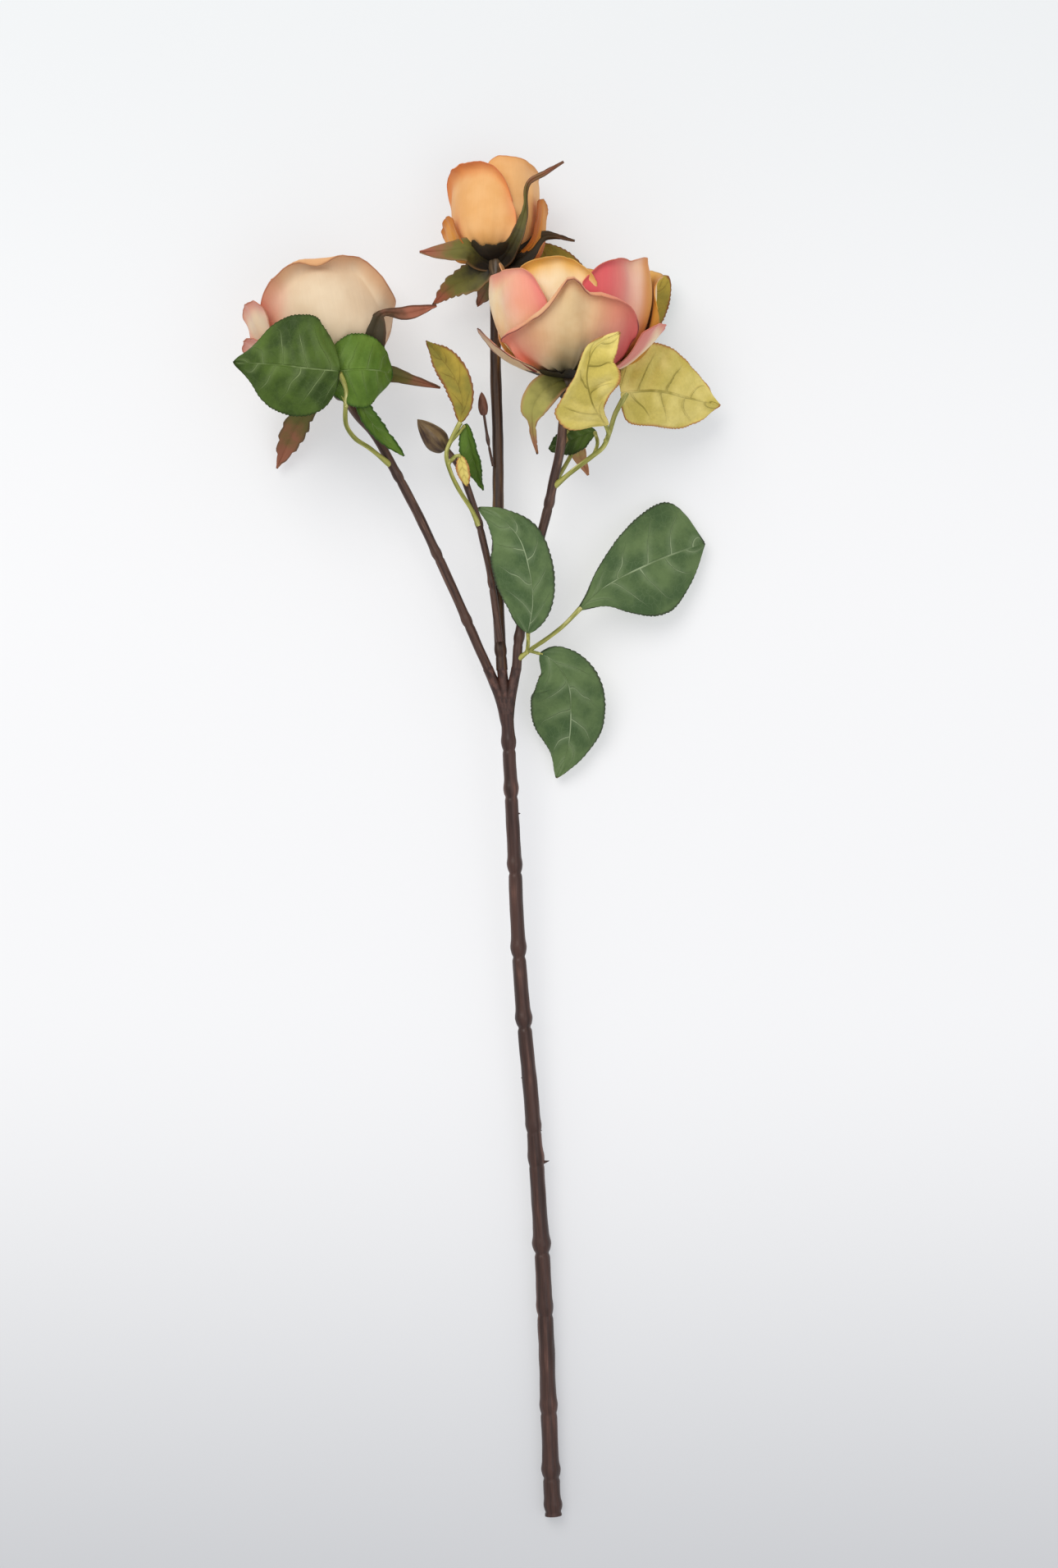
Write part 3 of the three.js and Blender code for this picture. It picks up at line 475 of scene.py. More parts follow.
def make_cloths(props):
    """Leaves and petals: woven polyester, printed or dyed and sprayed."""
    m = MATERIALS
    # Grey-green print with pale veins: the cool, matt upper side of the low leaves.
    m["leaf_top"] = leaf_cloth("printed_leaf_cloth", props.leaf, "465e38", "b4c69c", "33382c", 0.6, 0.6)
    # Deeper yellow-green with a slight sheen: a fresh leaf, mottled dark between its veins.
    m["leaf_fresh"] = leaf_cloth("printed_fresh_leaf_cloth", props.fresh_leaf, "2f4414", "b0c488", "2a3810",
                                 0.5, 0.5)
    # Brighter green with faint veins: the smooth, light leaf beside it.
    m["leaf_bright"] = leaf_cloth("printed_bright_leaf_cloth", props.bright_leaf, "4a681e", "b0c488",
                                  "2c4a14", 0.3, 0.5)
    # Undyed yellow underside with raised olive ribs and a brown cut edge: leaves that show their backs. The
    # ribs' dark olive is partly print, partly painted shade along the creases beside them.
    m["leaf_under"] = leaf_cloth("printed_leaf_underside_cloth", props.leaf_underside, "d2c062", "877a2c",
                                 "b06c44", 0.75, 0.85, 4.0, 1.3, -1.0)
    # Ochre turning olive, with low ribs: autumn leaves.
    m["leaf_ochre"] = leaf_cloth("printed_ochre_leaf_cloth", props.ochre_leaf, "86803a", "7a5c28", "8a4f3a",
                                 0.6, 0.75, 4.0, 1.2, -0.6)
    # Dull sage with raised ribs: the backs of the green leaves.
    m["leaf_back"] = leaf_cloth("printed_leaf_back_cloth", "8f9660", "7c8550", "66703c", "5a4a34", 0.6, 0.8,
                                5.0, 1.3, -0.8)
    # Cream cloth with rose sprayed at its sides: the soft, pale outside of the left bloom.
    m["cream_out"] = petal_cloth("cream_petal_cloth", props.cream_petal, "e8d2b2", "de766c", "e0aa68",
                                 "a8603c", "d8c48e", 0.8)
    # Apricot cream, warmer than the outside: the lining that shows where a rim rolls over.
    m["cream_in"] = petal_cloth("cream_petal_lining_cloth", "e8c094", "ecca9e", "dc8c66", "d89c58", "9c5a38",
                                "d8b070", 0.9)
    # Apricot cloth with a coral margin: the glowing outside of the top bloom.
    m["orange_out"] = petal_cloth("orange_petal_cloth", props.orange_petal, "eeb87a", "e06c40", "d88a30",
                                  "b8502c", "dca050", 0.5)
    # Stronger orange dye: its lining, darker all over as painted shade of the crowded inside of the bloom.
    m["orange_in"] = petal_cloth("orange_petal_lining_painted_shade_cloth", "dc8c3c", "e29a48", "d8662c", "c87020",
                                 "9c4a20", "c87a2c", 0.6)
    # Saturated orange with burnt sides: the small outer petals of the top bloom.
    m["orange_deep"] = petal_cloth("deep_orange_petal_cloth", "e0902c", "e8a03c", "b0560c", "c06814",
                                   "8a3c14", "c87828")
    # Tan cloth with pink sides, an orange edge and a dark olive foot, that foot painted shade where the bowl
    # turns under: the front petal of the right bloom.
    m["tan_out"] = petal_cloth("tan_petal_cloth", props.tan_petal, "e8ca9a", "e46c6c", "e08c48", "8a3c34",
                               "51481a", 1.0)
    # Light cream that takes pink on one side: the brightest petals of the right bloom.
    m["tan_cream"] = petal_cloth("light_petal_cloth", props.light_petal, "fde8c2", "ee8078", "e8ae3c",
                                 "c08040", "c8a860", 0.5)
    # Ochre yellow: the lining that shows on its arched and outer petals.
    m["tan_in"] = petal_cloth("ochre_petal_lining_cloth", "e0ae58", "ecc474", "d88a3c", "c88c30", "a8782c",
                              "c89848", 0.7)
    # Cream under a heavy rose spray: the deep pink petals at the right.
    m["tan_deep"] = petal_cloth("pink_petal_cloth", "fbdcb4", "fde4c4", props.rose_spray, "e0a03c", "c06a48",
                                "e2b078", 0.6)
    # Tan cloth browned at its rim and olive at its foot, the olive a painted shade: the weathered outer
    # petal.
    m["tan_brown"] = petal_cloth("browned_petal_cloth", "dcb484", "e8c494", "a8604c", "c08848", "5c2c24",
                                 "6a5a30", 1.0)


# ---------------------------------------------------------------- stems
MAIN_LINE = [(34, -297, 4), (33, -277, 4.2), (31, -222, 6), (29, -179, 8), (25, -121, 11), (21, -78, 14),
             (19, -50, 16), (17, -7, 18), (15, 32, 21), (14, 53, 22)]
FORK = {
    "left": [(14, 48, 22), (11, 60, 22), (5.6, 73, 22.7)],
    "centre": [(14, 48, 22), (13, 60, 22.2), (11.7, 73, 22.8)],
    "right": [(14, 48, 22), (15.4, 60, 22.4), (18, 73, 23.3)],
}
# Radius in mm of a fork's arm where it leaves the stem and at its end.
FORK_RADII = (2.5, 2.25)
# Share of the way up the stem, swell in mm and half length in mm of each moulded knuckle.
KNUCKLES = [(0.014, 0.5, 2.0), (0.058, 0.55, 2.4), (0.139, 0.4, 2.4), (0.263, 0.45, 2.6), (0.341, 0.7, 2.6),
            (0.45, 0.3, 2.4), (0.49, 0.3, 2.0), (0.624, 0.75, 2.6), (0.712, 0.6, 2.6), (0.815, 0.55, 2.4),
            (0.909, 0.5, 2.4), (0.967, 0.45, 2.4)]
# Foot point and direction of each thorn, and how far it stands out, in mm.
THORNS = [((28.6, -142, 9.8), (1, 0.25, 0.2), 2.6), ((22.4, -105, 12), (-1, 0.1, 0.3), 1.4),
          ((31, -241, 5.6), (1, 0.2, 0.3), 1.4), ((31.8, -226, 6), (-1, 0.1, 0.4), 1.2),
          ((26.8, -128, 10.4), (1, 0.1, 0.4), 1.2), ((20, -66, 15), (1, 0.1, 0.4), 1.1),
          ((24.6, -117, 11.2), (1, 0.1, 0.5), 1.2), ((17.6, 10, 19), (1, 0.1, 0.5), 1.1),
          ((29.4, -190, 7.6), (-1, 0.1, 0.5), 1.2), ((27.6, -151, 9.4), (-1, 0.1, 0.5), 1.2)]
# Radii of a thorn at its foot and at its tip, and how much of it is rooted in the stem, in mm.
THORN_FOOT, THORN_TIP, THORN_ROOT = 1.5, 0.12, 2.4
PITH_RADIUS = 1.9
# Line in mm, radius in mm, finish and the places of the knuckles.
SHOOTS = {
    "left_shoot": ([(6, 72, 22.6), (2, 81, 23), (-5, 97, 24), (-14, 117, 25), (-21, 132, 26), (-28, 146, 27),
                    (-35, 159, 28), (-43, 173, 29.4), (-50, 181, 29.8), (-55, 188, 29.6)], 2.05, "shoot",
                   [0.18, 0.42, 0.7]),
    "centre_shoot": ([(11.7, 72, 22.8), (10.5, 92, 22), (10, 113, 21), (10, 141, 20), (10, 170, 19),
                      (9, 201, 19), (9, 219, 20), (9, 231, 22.5), (9.4, 238, 28), (9.5, 241.4, 32)], 2.45,
                     "olive_shoot", [0.05, 0.3]),
    "right_shoot": ([(17.9, 72, 23.3), (19, 85, 24), (22, 101, 25), (26, 120, 27), (31, 139, 30),
                     (34, 153, 32), (37, 167, 34), (38, 178, 35.5), (39.6, 188, 37)], 2.1, "shoot",
                    [0.12, 0.38, 0.62]),
    "bud_shoot": ([(10.8, 84, 26.8), (9, 98, 26.6), (7, 112, 26.6), (4, 126, 27), (1, 138, 26.8),
                   (-3, 150, 26), (-7, 160, 25.2), (-12, 166.4, 24.6)], 1.55, "shoot", [0.3, 0.6]),
    "bud_twig": ([(7.9, 160, 22.6), (6.6, 166, 24.4), (5.2, 174, 24.8), (3.9, 182.6, 24.8)], 0.6, "shoot",
                 [0.5]),
}


def stem_radius(t, angle, foot, top, knuckles, length):
    """Radius along the stem: a slow taper, knuckles with a groove beside each, and a hand-made wobble."""
    r = mix(foot, top, t)
    for share, swell, half in knuckles:
        gap = (t - share) * length
        groove = (gap + 1.6 * half) / (0.35 * half)
        r += swell * (math.exp(-(gap / half) ** 2) - 0.8 * math.exp(-groove ** 2))
    wobble = noise.noise(Vector((math.cos(angle) * 1.5, math.sin(angle) * 1.5, t * length * 0.12)))
    return r * (1 + 0.07 * wobble)


def make_main_stem(props):
    """The stem with its knuckles, the three arms of its fork, its thorns and the pale disc of its cut end."""
    foot, top = props.stem_foot_radius / MM, props.stem_top_radius / MM
    length = Line(MAIN_LINE).length
    bark = MATERIALS["bark"]
    parts = [rod("main_stem_look", MAIN_LINE,
                 lambda t, angle: stem_radius(t, angle, foot, top, KNUCKLES, length), 24, 520, bark)]

    def arm_radius(t, angle):
        return mix(*FORK_RADII, t) * (1 + 0.06 * noise.noise(Vector((math.cos(angle), t * 4, 3))))

    for key, line in FORK.items():
        parts.append(rod("fork_" + key, line, arm_radius, 20, 30, bark))
    for foot_point, toward, reach in THORNS:
        foot_point, toward = Vector(foot_point), Vector(toward).normalized()
        deselect()
        bpy.ops.mesh.primitive_cone_add(vertices=12, radius1=THORN_FOOT * MM, radius2=THORN_TIP * MM,
                                        depth=(reach + THORN_ROOT) * MM,
                                        location=(foot_point + toward * (reach / 2)) * MM,
                                        rotation=toward.to_track_quat("Z", "Y").to_euler())
        thorn = bpy.context.object
        bpy.ops.object.transform_apply(location=True, rotation=True, scale=True)
        thorn.data.materials.append(bark)
        bpy.ops.object.shade_smooth()
        parts.append(thorn)
    end, direction = Line(MAIN_LINE).share(0.0)

    def cut_edge(t, angle):
        wobble = noise.noise(Vector((math.cos(angle) * 2, math.sin(angle) * 2, 0)))
        return PITH_RADIUS + 0.3 * wobble

    disc = [end - direction * 0.25, end + direction * 1.5]
    parts.append(rod("pith", disc, cut_edge, 20, 2, MATERIALS["pith"]))
    finished(joined("main_stem_look", parts), "bark", "main_stem")


def make_shoots():
    """The rods that carry the blooms and buds; the centre one is grooved along its upper side."""
    for name, (line, thick, finish, rings) in SHOOTS.items():
        length = Line(line).length
        knuckles = [(share, 0.3, 1.8) for share in rings]
        grooved = 0.16 if name == "centre_shoot" else 0.0

        def radius(t, angle):
            groove = grooved * math.exp(-(angle / 0.35) ** 2)
            return stem_radius(t, angle, thick, thick * 0.96, knuckles, length) * (1 - groove)

        piece = rod(name + "_look", line, radius, 20, max(int(length), 24), MATERIALS[finish])
        finished(piece, "shoot", name)


# Radius in mm, then the line of the stalk and of each of its branches.
STALKS = {
    "petiole_left": (1.0, [
        [(-36.4, 160, 28.8), (-39.8, 162.6, 32.2), (-45, 166.4, 36.4), (-50.6, 169.8, 41.6), (-54, 175, 46.6),
         (-54, 182, 50.6), (-53.6, 189, 54.6), (-56, 195, 58.8)],
        [(-53.8, 182, 51), (-51.6, 187.6, 53), (-51, 192, 53.2)],
        [(-53.8, 183.5, 51.6), (-57, 190, 52.4), (-61.8, 195, 53.2)]]),
    "petiole_bud": (0.95, [
        [(1.9, 134, 27.4), (-1.5, 141, 29.6), (-6, 148, 30), (-10, 156, 30.6), (-12, 164, 31.4),
         (-10, 170, 32), (-6, 177.6, 32.4)],
        [(-11.2, 160, 31), (-8, 163.2, 31.6), (-6, 163.4, 31.4)],
        [(-10.4, 169, 32), (-6.8, 173, 31.6), (-4.2, 176.4, 30.8)]]),
    "petiole_right": (1.05, [
        [(34.4, 150.4, 31.8), (37.4, 152.8, 34.6), (43, 157, 38), (50, 162, 41), (55, 166, 43.4),
         (57.5, 172, 43), (60, 180, 42.2), (64.8, 189, 41)],
        [(56, 168.4, 43.4), (57, 171, 47.4), (55.6, 174.8, 51)],
        [(51, 162.8, 41), (52.6, 168, 38.6), (51.6, 173, 34.2)]]),
    "petiole_low": (0.95, [
        [(18.4, 76.4, 24), (21, 78.4, 25), (25, 81.4, 24.4), (31, 85.5, 23), (38, 91, 21.6), (45.8, 99, 20)],
        [(22.4, 79.2, 25), (23, 83, 27.6), (23, 87.8, 30)],
        [(23.6, 80.2, 24.6), (26, 79.6, 23.4), (29, 78.8, 22)]]),
    "petiole_behind": (0.95, [
        [(34, 152, 31), (38, 158, 28), (42, 166, 23.4), (44, 176, 17), (46, 188, 9), (48, 199, 5.4),
         (53, 207, 5.2)],
        [(46.6, 192, 7.6), (45.4, 200, 4), (44.2, 208, 2.4)]]),
}


def make_stalks():
    """The forked leaf stalks, each thickened where it is glued."""
    for name, (thick, lines) in STALKS.items():
        parts = []
        for k, line in enumerate(lines):
            swell = 0.35 if k == 0 else 0.2

            def radius(t, angle):
                ends = math.exp(-(t / 0.09) ** 2) + 0.6 * math.exp(-((1 - t) / 0.1) ** 2)
                lump = noise.noise(Vector((t * 9, k * 3.1, math.cos(angle))))
                return thick * (1 - 0.12 * k) * (1 + 0.08 * lump) + swell * ends

            parts.append(rod(f"{name}_{k}", line, radius, 14, 60, MATERIALS["stalk"]))
        finished(joined(name + "_look", parts), "stalk", name)


# ---------------------------------------------------------------- leaves
LEAF_RIBS = 5.0


def leaf_point(spec, line, up, u, v, teeth, seed):
    """A point on a leaf: rib, outline with teeth, fold, cup and pressed quilting between the ribs."""
    centre, direction = line.share(v)
    side = direction.cross(up).normalized()
    lift = side.cross(direction)
    half = spec["left"] if u < 0 else spec["right"]
    along = v ** (math.log(0.5) / math.log(spec["wide"]))
    outline = max(math.sin(math.pi * along), 0.0) ** spec["full"]
    outline *= 1 - spec.get("tip", 0.0) * ramp(v, 0.6, 1.0)
    if "widths" in spec:
        outline = read(spec["widths_left"] if u < 0 and "widths_left" in spec else spec["widths"], v) / half
    width = max(half * outline, 0.25)
    count = spec.get("teeth", 28)
    saw = (v * count + (0.5 if u < 0 else 0.0)) % 1.0
    bite = teeth * min(outline * 1.6, 1.0) * (saw ** 0.7 if saw < 0.78 else (1 - saw) / 0.22 * 0.84)
    width += (bite - teeth * 0.5) * abs(u) ** 6
    reach = u * width
    rise = spec.get("fold", 0.15) * abs(reach) + spec.get("cup", 0.0) * abs(u) * abs(reach)
    order = (v - 0.24 * abs(u) ** 1.25 + (0.03 if u > 0 else -0.03)) * LEAF_RIBS
    quilt = 0.5 - abs(order % 1.0 - 0.5)
    swell = math.sqrt(quilt * 2) - 0.5
    rise += spec.get("quilt", 0.8) * swell * min(abs(u) * 4, 1.0) * (1 - abs(u) ** 3) * outline
    rise += spec.get("wave", 0.8) * noise.noise(Vector((u * 1.3, v * 3.2, seed))) * abs(u) ** 0.7 * 2
    rise += spec.get("crease", 0.0) * math.exp(-(abs(u) / 0.06) ** 2)
    rise += spec.get("hem", 0.7) * noise.noise(Vector((u * 2, v * 9, seed + 40))) * abs(u) ** 4 * 2
    return on_floor(centre + side * reach + lift * rise)


# Each leaf's rib and widths are in mm. wide is where a plain outline is widest and full how blunt it is.
# fold, cup, quilt, wave, crease and hem shape its surface.
LEAVES = {
    "leaf_left_big": dict(
        rib=[(-56, 195.6, 61), (-66, 196, 64.4), (-81, 198, 62), (-101, 201, 50)], left=20, right=23,
        wide=0.36, full=0.55, fold=-0.16, cup=-0.05, top="leaf_fresh", tip=0.55, crease=-0.5, quilt=1.3),
    "leaf_left_round": dict(
        rib=[(-63, 195.6, 54), (-52, 196.6, 57), (-41, 197, 53.6), (-34.4, 196.4, 45)], left=16, right=15.5,
        wide=0.5, full=0.34, fold=-0.2, cup=-0.1, top="leaf_bright", teeth=18, crease=-0.4, quilt=0.9),
    "leaf_left_narrow": dict(
        rib=[(-51, 192, 53.6), (-46, 180, 48), (-38, 170, 40.5), (-30, 163, 35)], left=3.8, right=3.8,
        wide=0.45, full=0.8, fold=0.3, up=(0.25, 0.2, 1), top="leaf_bright", teeth=12, wave=0.3, quilt=0.1),
    "leaf_bud_upper": dict(
        rib=[(-6, 177.6, 32.4), (-5, 186, 34.5), (-8, 196, 34.5), (-14, 205, 30), (-21, 214, 22)], left=5.6,
        right=7, wide=0.45, full=0.7, fold=0.4, up=(-0.3, 0, 1), top="leaf_ochre", under="leaf_top", teeth=18,
        wave=0.4, quilt=0.3, tip=0.4),
    "leaf_bud_lower": dict(
        rib=[(-3.6, 177.2, 30.4), (-2, 168, 29), (0.6, 159, 24), (3.6, 150, 18.5)], left=4.6, right=4.2,
        wide=0.42, full=0.7, fold=0.7, up=(-0.5, 0, 1), top="leaf_bright", under="leaf_top", teeth=14,
        wave=0.3, quilt=0.2, tip=0.3),
    "leaf_bud_small": dict(
        rib=[(-6, 163.4, 31.4), (-4.6, 157, 31.4), (-3, 150.6, 29.6)], left=2.8, right=2.8, wide=0.45,
        full=0.7, fold=0.4, up=(-0.2, 0, 1), top="leaf_under", teeth=10, wave=0.2, quilt=0.1),
    "leaf_right_upper": dict(
        rib=[(55.8, 174.2, 51.6), (50, 183, 61), (47.6, 194, 70), (51, 203.5, 75), (61, 209.5, 76.5)],
        left=16, right=12.5,
        widths_left=[(0, 1.5), (0.12, 11), (0.28, 16), (0.42, 9.5), (0.54, 4.6), (0.75, 3.4), (1, 0.3)],
        widths=[(0, 1.5), (0.15, 3), (0.3, 7), (0.48, 13.5), (0.62, 14.5), (0.78, 10.5), (0.9, 6.5),
                (1, 0.3)], wide=0.45, full=0.6, fold=0.3, up=(-0.2, -0.5, 1), top="leaf_under",
        under="leaf_top", quilt=1.9, teeth=32, crease=0.7, hem=1.2, tip=0.3),
    "leaf_right_broad": dict(
        rib=[(62.4, 189, 42.4), (78, 190.6, 35.4), (92, 189, 25), (106, 187, 15)], left=19.5, right=16,
        wide=0.4,
        widths_left=[(0, 4), (0.05, 12), (0.18, 18.6), (0.33, 20.6), (0.49, 18.8), (0.68, 13.6), (0.85, 8.4),
                     (1, 0.4)],
        widths=[(0, 4), (0.05, 11.5), (0.15, 14), (0.33, 14.8), (0.6, 14.2), (0.75, 11.6), (0.88, 7),
                (1, 0.4)], full=0.48, fold=-0.12, cup=-0.08, up=(0.3, -0.1, 1), top="leaf_under",
        under="leaf_top", quilt=1.7, teeth=34, tip=0.45, crease=0.5, hem=1.2),
    "leaf_right_low": dict(
        rib=[(51.6, 173.6, 33.8), (43, 171.4, 26), (32, 168, 17)], left=6.5, right=6, wide=0.45, full=0.7,
        fold=0.2, up=(-0.4, 0, 1), top="leaf_fresh", teeth=14, wave=0.4),
    "leaf_low_upper": dict(
        rib=[(23, 87.8, 30.6), (25, 100, 34), (24, 112, 36.5), (19, 128, 38), (10, 137, 37), (2, 141, 34)],
        left=15.5, right=10.4, wide=0.45, full=0.6, fold=-0.18, cup=-0.04, top="leaf_top", tip=0.4,
        crease=-0.3, hem=1.0),
    "leaf_low_right": dict(
        rib=[(45.4, 98.6, 20.4), (56, 108, 20), (77, 119, 16), (100, 128, 7)], left=22.5, right=21, wide=0.58,
        widths_left=[(0, 1), (0.12, 3.5), (0.24, 8), (0.5, 17.2), (0.78, 23), (0.91, 21.5), (0.97, 14),
                     (1, 0.6)],
        widths=[(0, 1), (0.15, 7.4), (0.25, 13), (0.42, 20.4), (0.6, 22.4), (0.74, 18.6), (0.89, 10),
                (1, 0.6)], full=0.66, fold=-0.1, cup=-0.12, top="leaf_top", teeth=36, crease=-0.3, hem=0.8),
    "leaf_low_bottom": dict(
        rib=[(28.4, 79.4, 22.4), (34.5, 75.5, 23), (40.4, 66, 20), (41.6, 52, 13.6), (40, 37, 8.6),
             (35.4, 25.6, 5)], left=15, right=17.5, wide=0.48, full=0.66, fold=-0.1, cup=-0.1, top="leaf_top",
        teeth=34, tip=0.45, crease=-0.3, hem=1.0),
    "leaf_behind_right": dict(
        rib=[(53.4, 207.4, 5.4), (63, 218, 6), (74, 231, 7.6), (84, 244, 10)], left=11, right=11, wide=0.48,
        full=0.6, fold=0.1, top="leaf_ochre"),
    "leaf_behind_top": dict(
        rib=[(44, 209, 2), (42, 224, 1.8), (37, 242, 2), (25, 259, 4)], left=10, right=13, wide=0.55,
        full=0.6, fold=0.04, top="leaf_ochre", wave=0.2, quilt=0.2),
}
# Leaves passed the pale leaf slot, which finished does not use.
PALE_SLOT = ("leaf_bud_upper", "leaf_bud_small", "leaf_right_upper", "leaf_right_broad")


def make_leaves(props):
    """The leaves; teeth stay small on a small leaf."""
    teeth = props.tooth_depth / MM
    for seed, (name, spec) in enumerate(LEAVES.items()):
        line = Line(spec["rib"])
        up = Vector(spec.get("up", (0, 0, 1))).normalized()
        tooth = min(teeth, 0.08 * (spec["left"] + spec["right"]))

        def place(u, v):
            return leaf_point(spec, line, up, u, v, tooth, seed * 5.3)

        def masks(u, v):
            half = spec["left"] if u < 0 else spec["right"]
            inward = min((1 - abs(u)) * half, (1 - v) * line.length)
            return {"edge": 0.85 * (1 - ramp(inward, 0.1, 1.3))}

        piece = shaped_grid(name + "_look", 28, 132, place, masks)
        faces = (spec["top"], spec.get("under", "leaf_back"))
        thicken(piece, props.leaf_thickness / MM, [MATERIALS[key] for key in faces])
        finished(piece, "leaf_olive" if name in PALE_SLOT else "leaf_green", name)


# ---------------------------------------------------------------- blooms
def placement(base, axis):
    """Where a bloom sits: its Y axis runs from the hip along axis, with Z kept as near up as it goes."""
    y = Vector(axis).normalized()
    x = y.cross(Vector((0, 0, 1))).normalized()
    z = x.cross(y)
    matrix = Matrix((x, y, z)).transposed().to_4x4()
    matrix.translation = Vector(base)
    return matrix
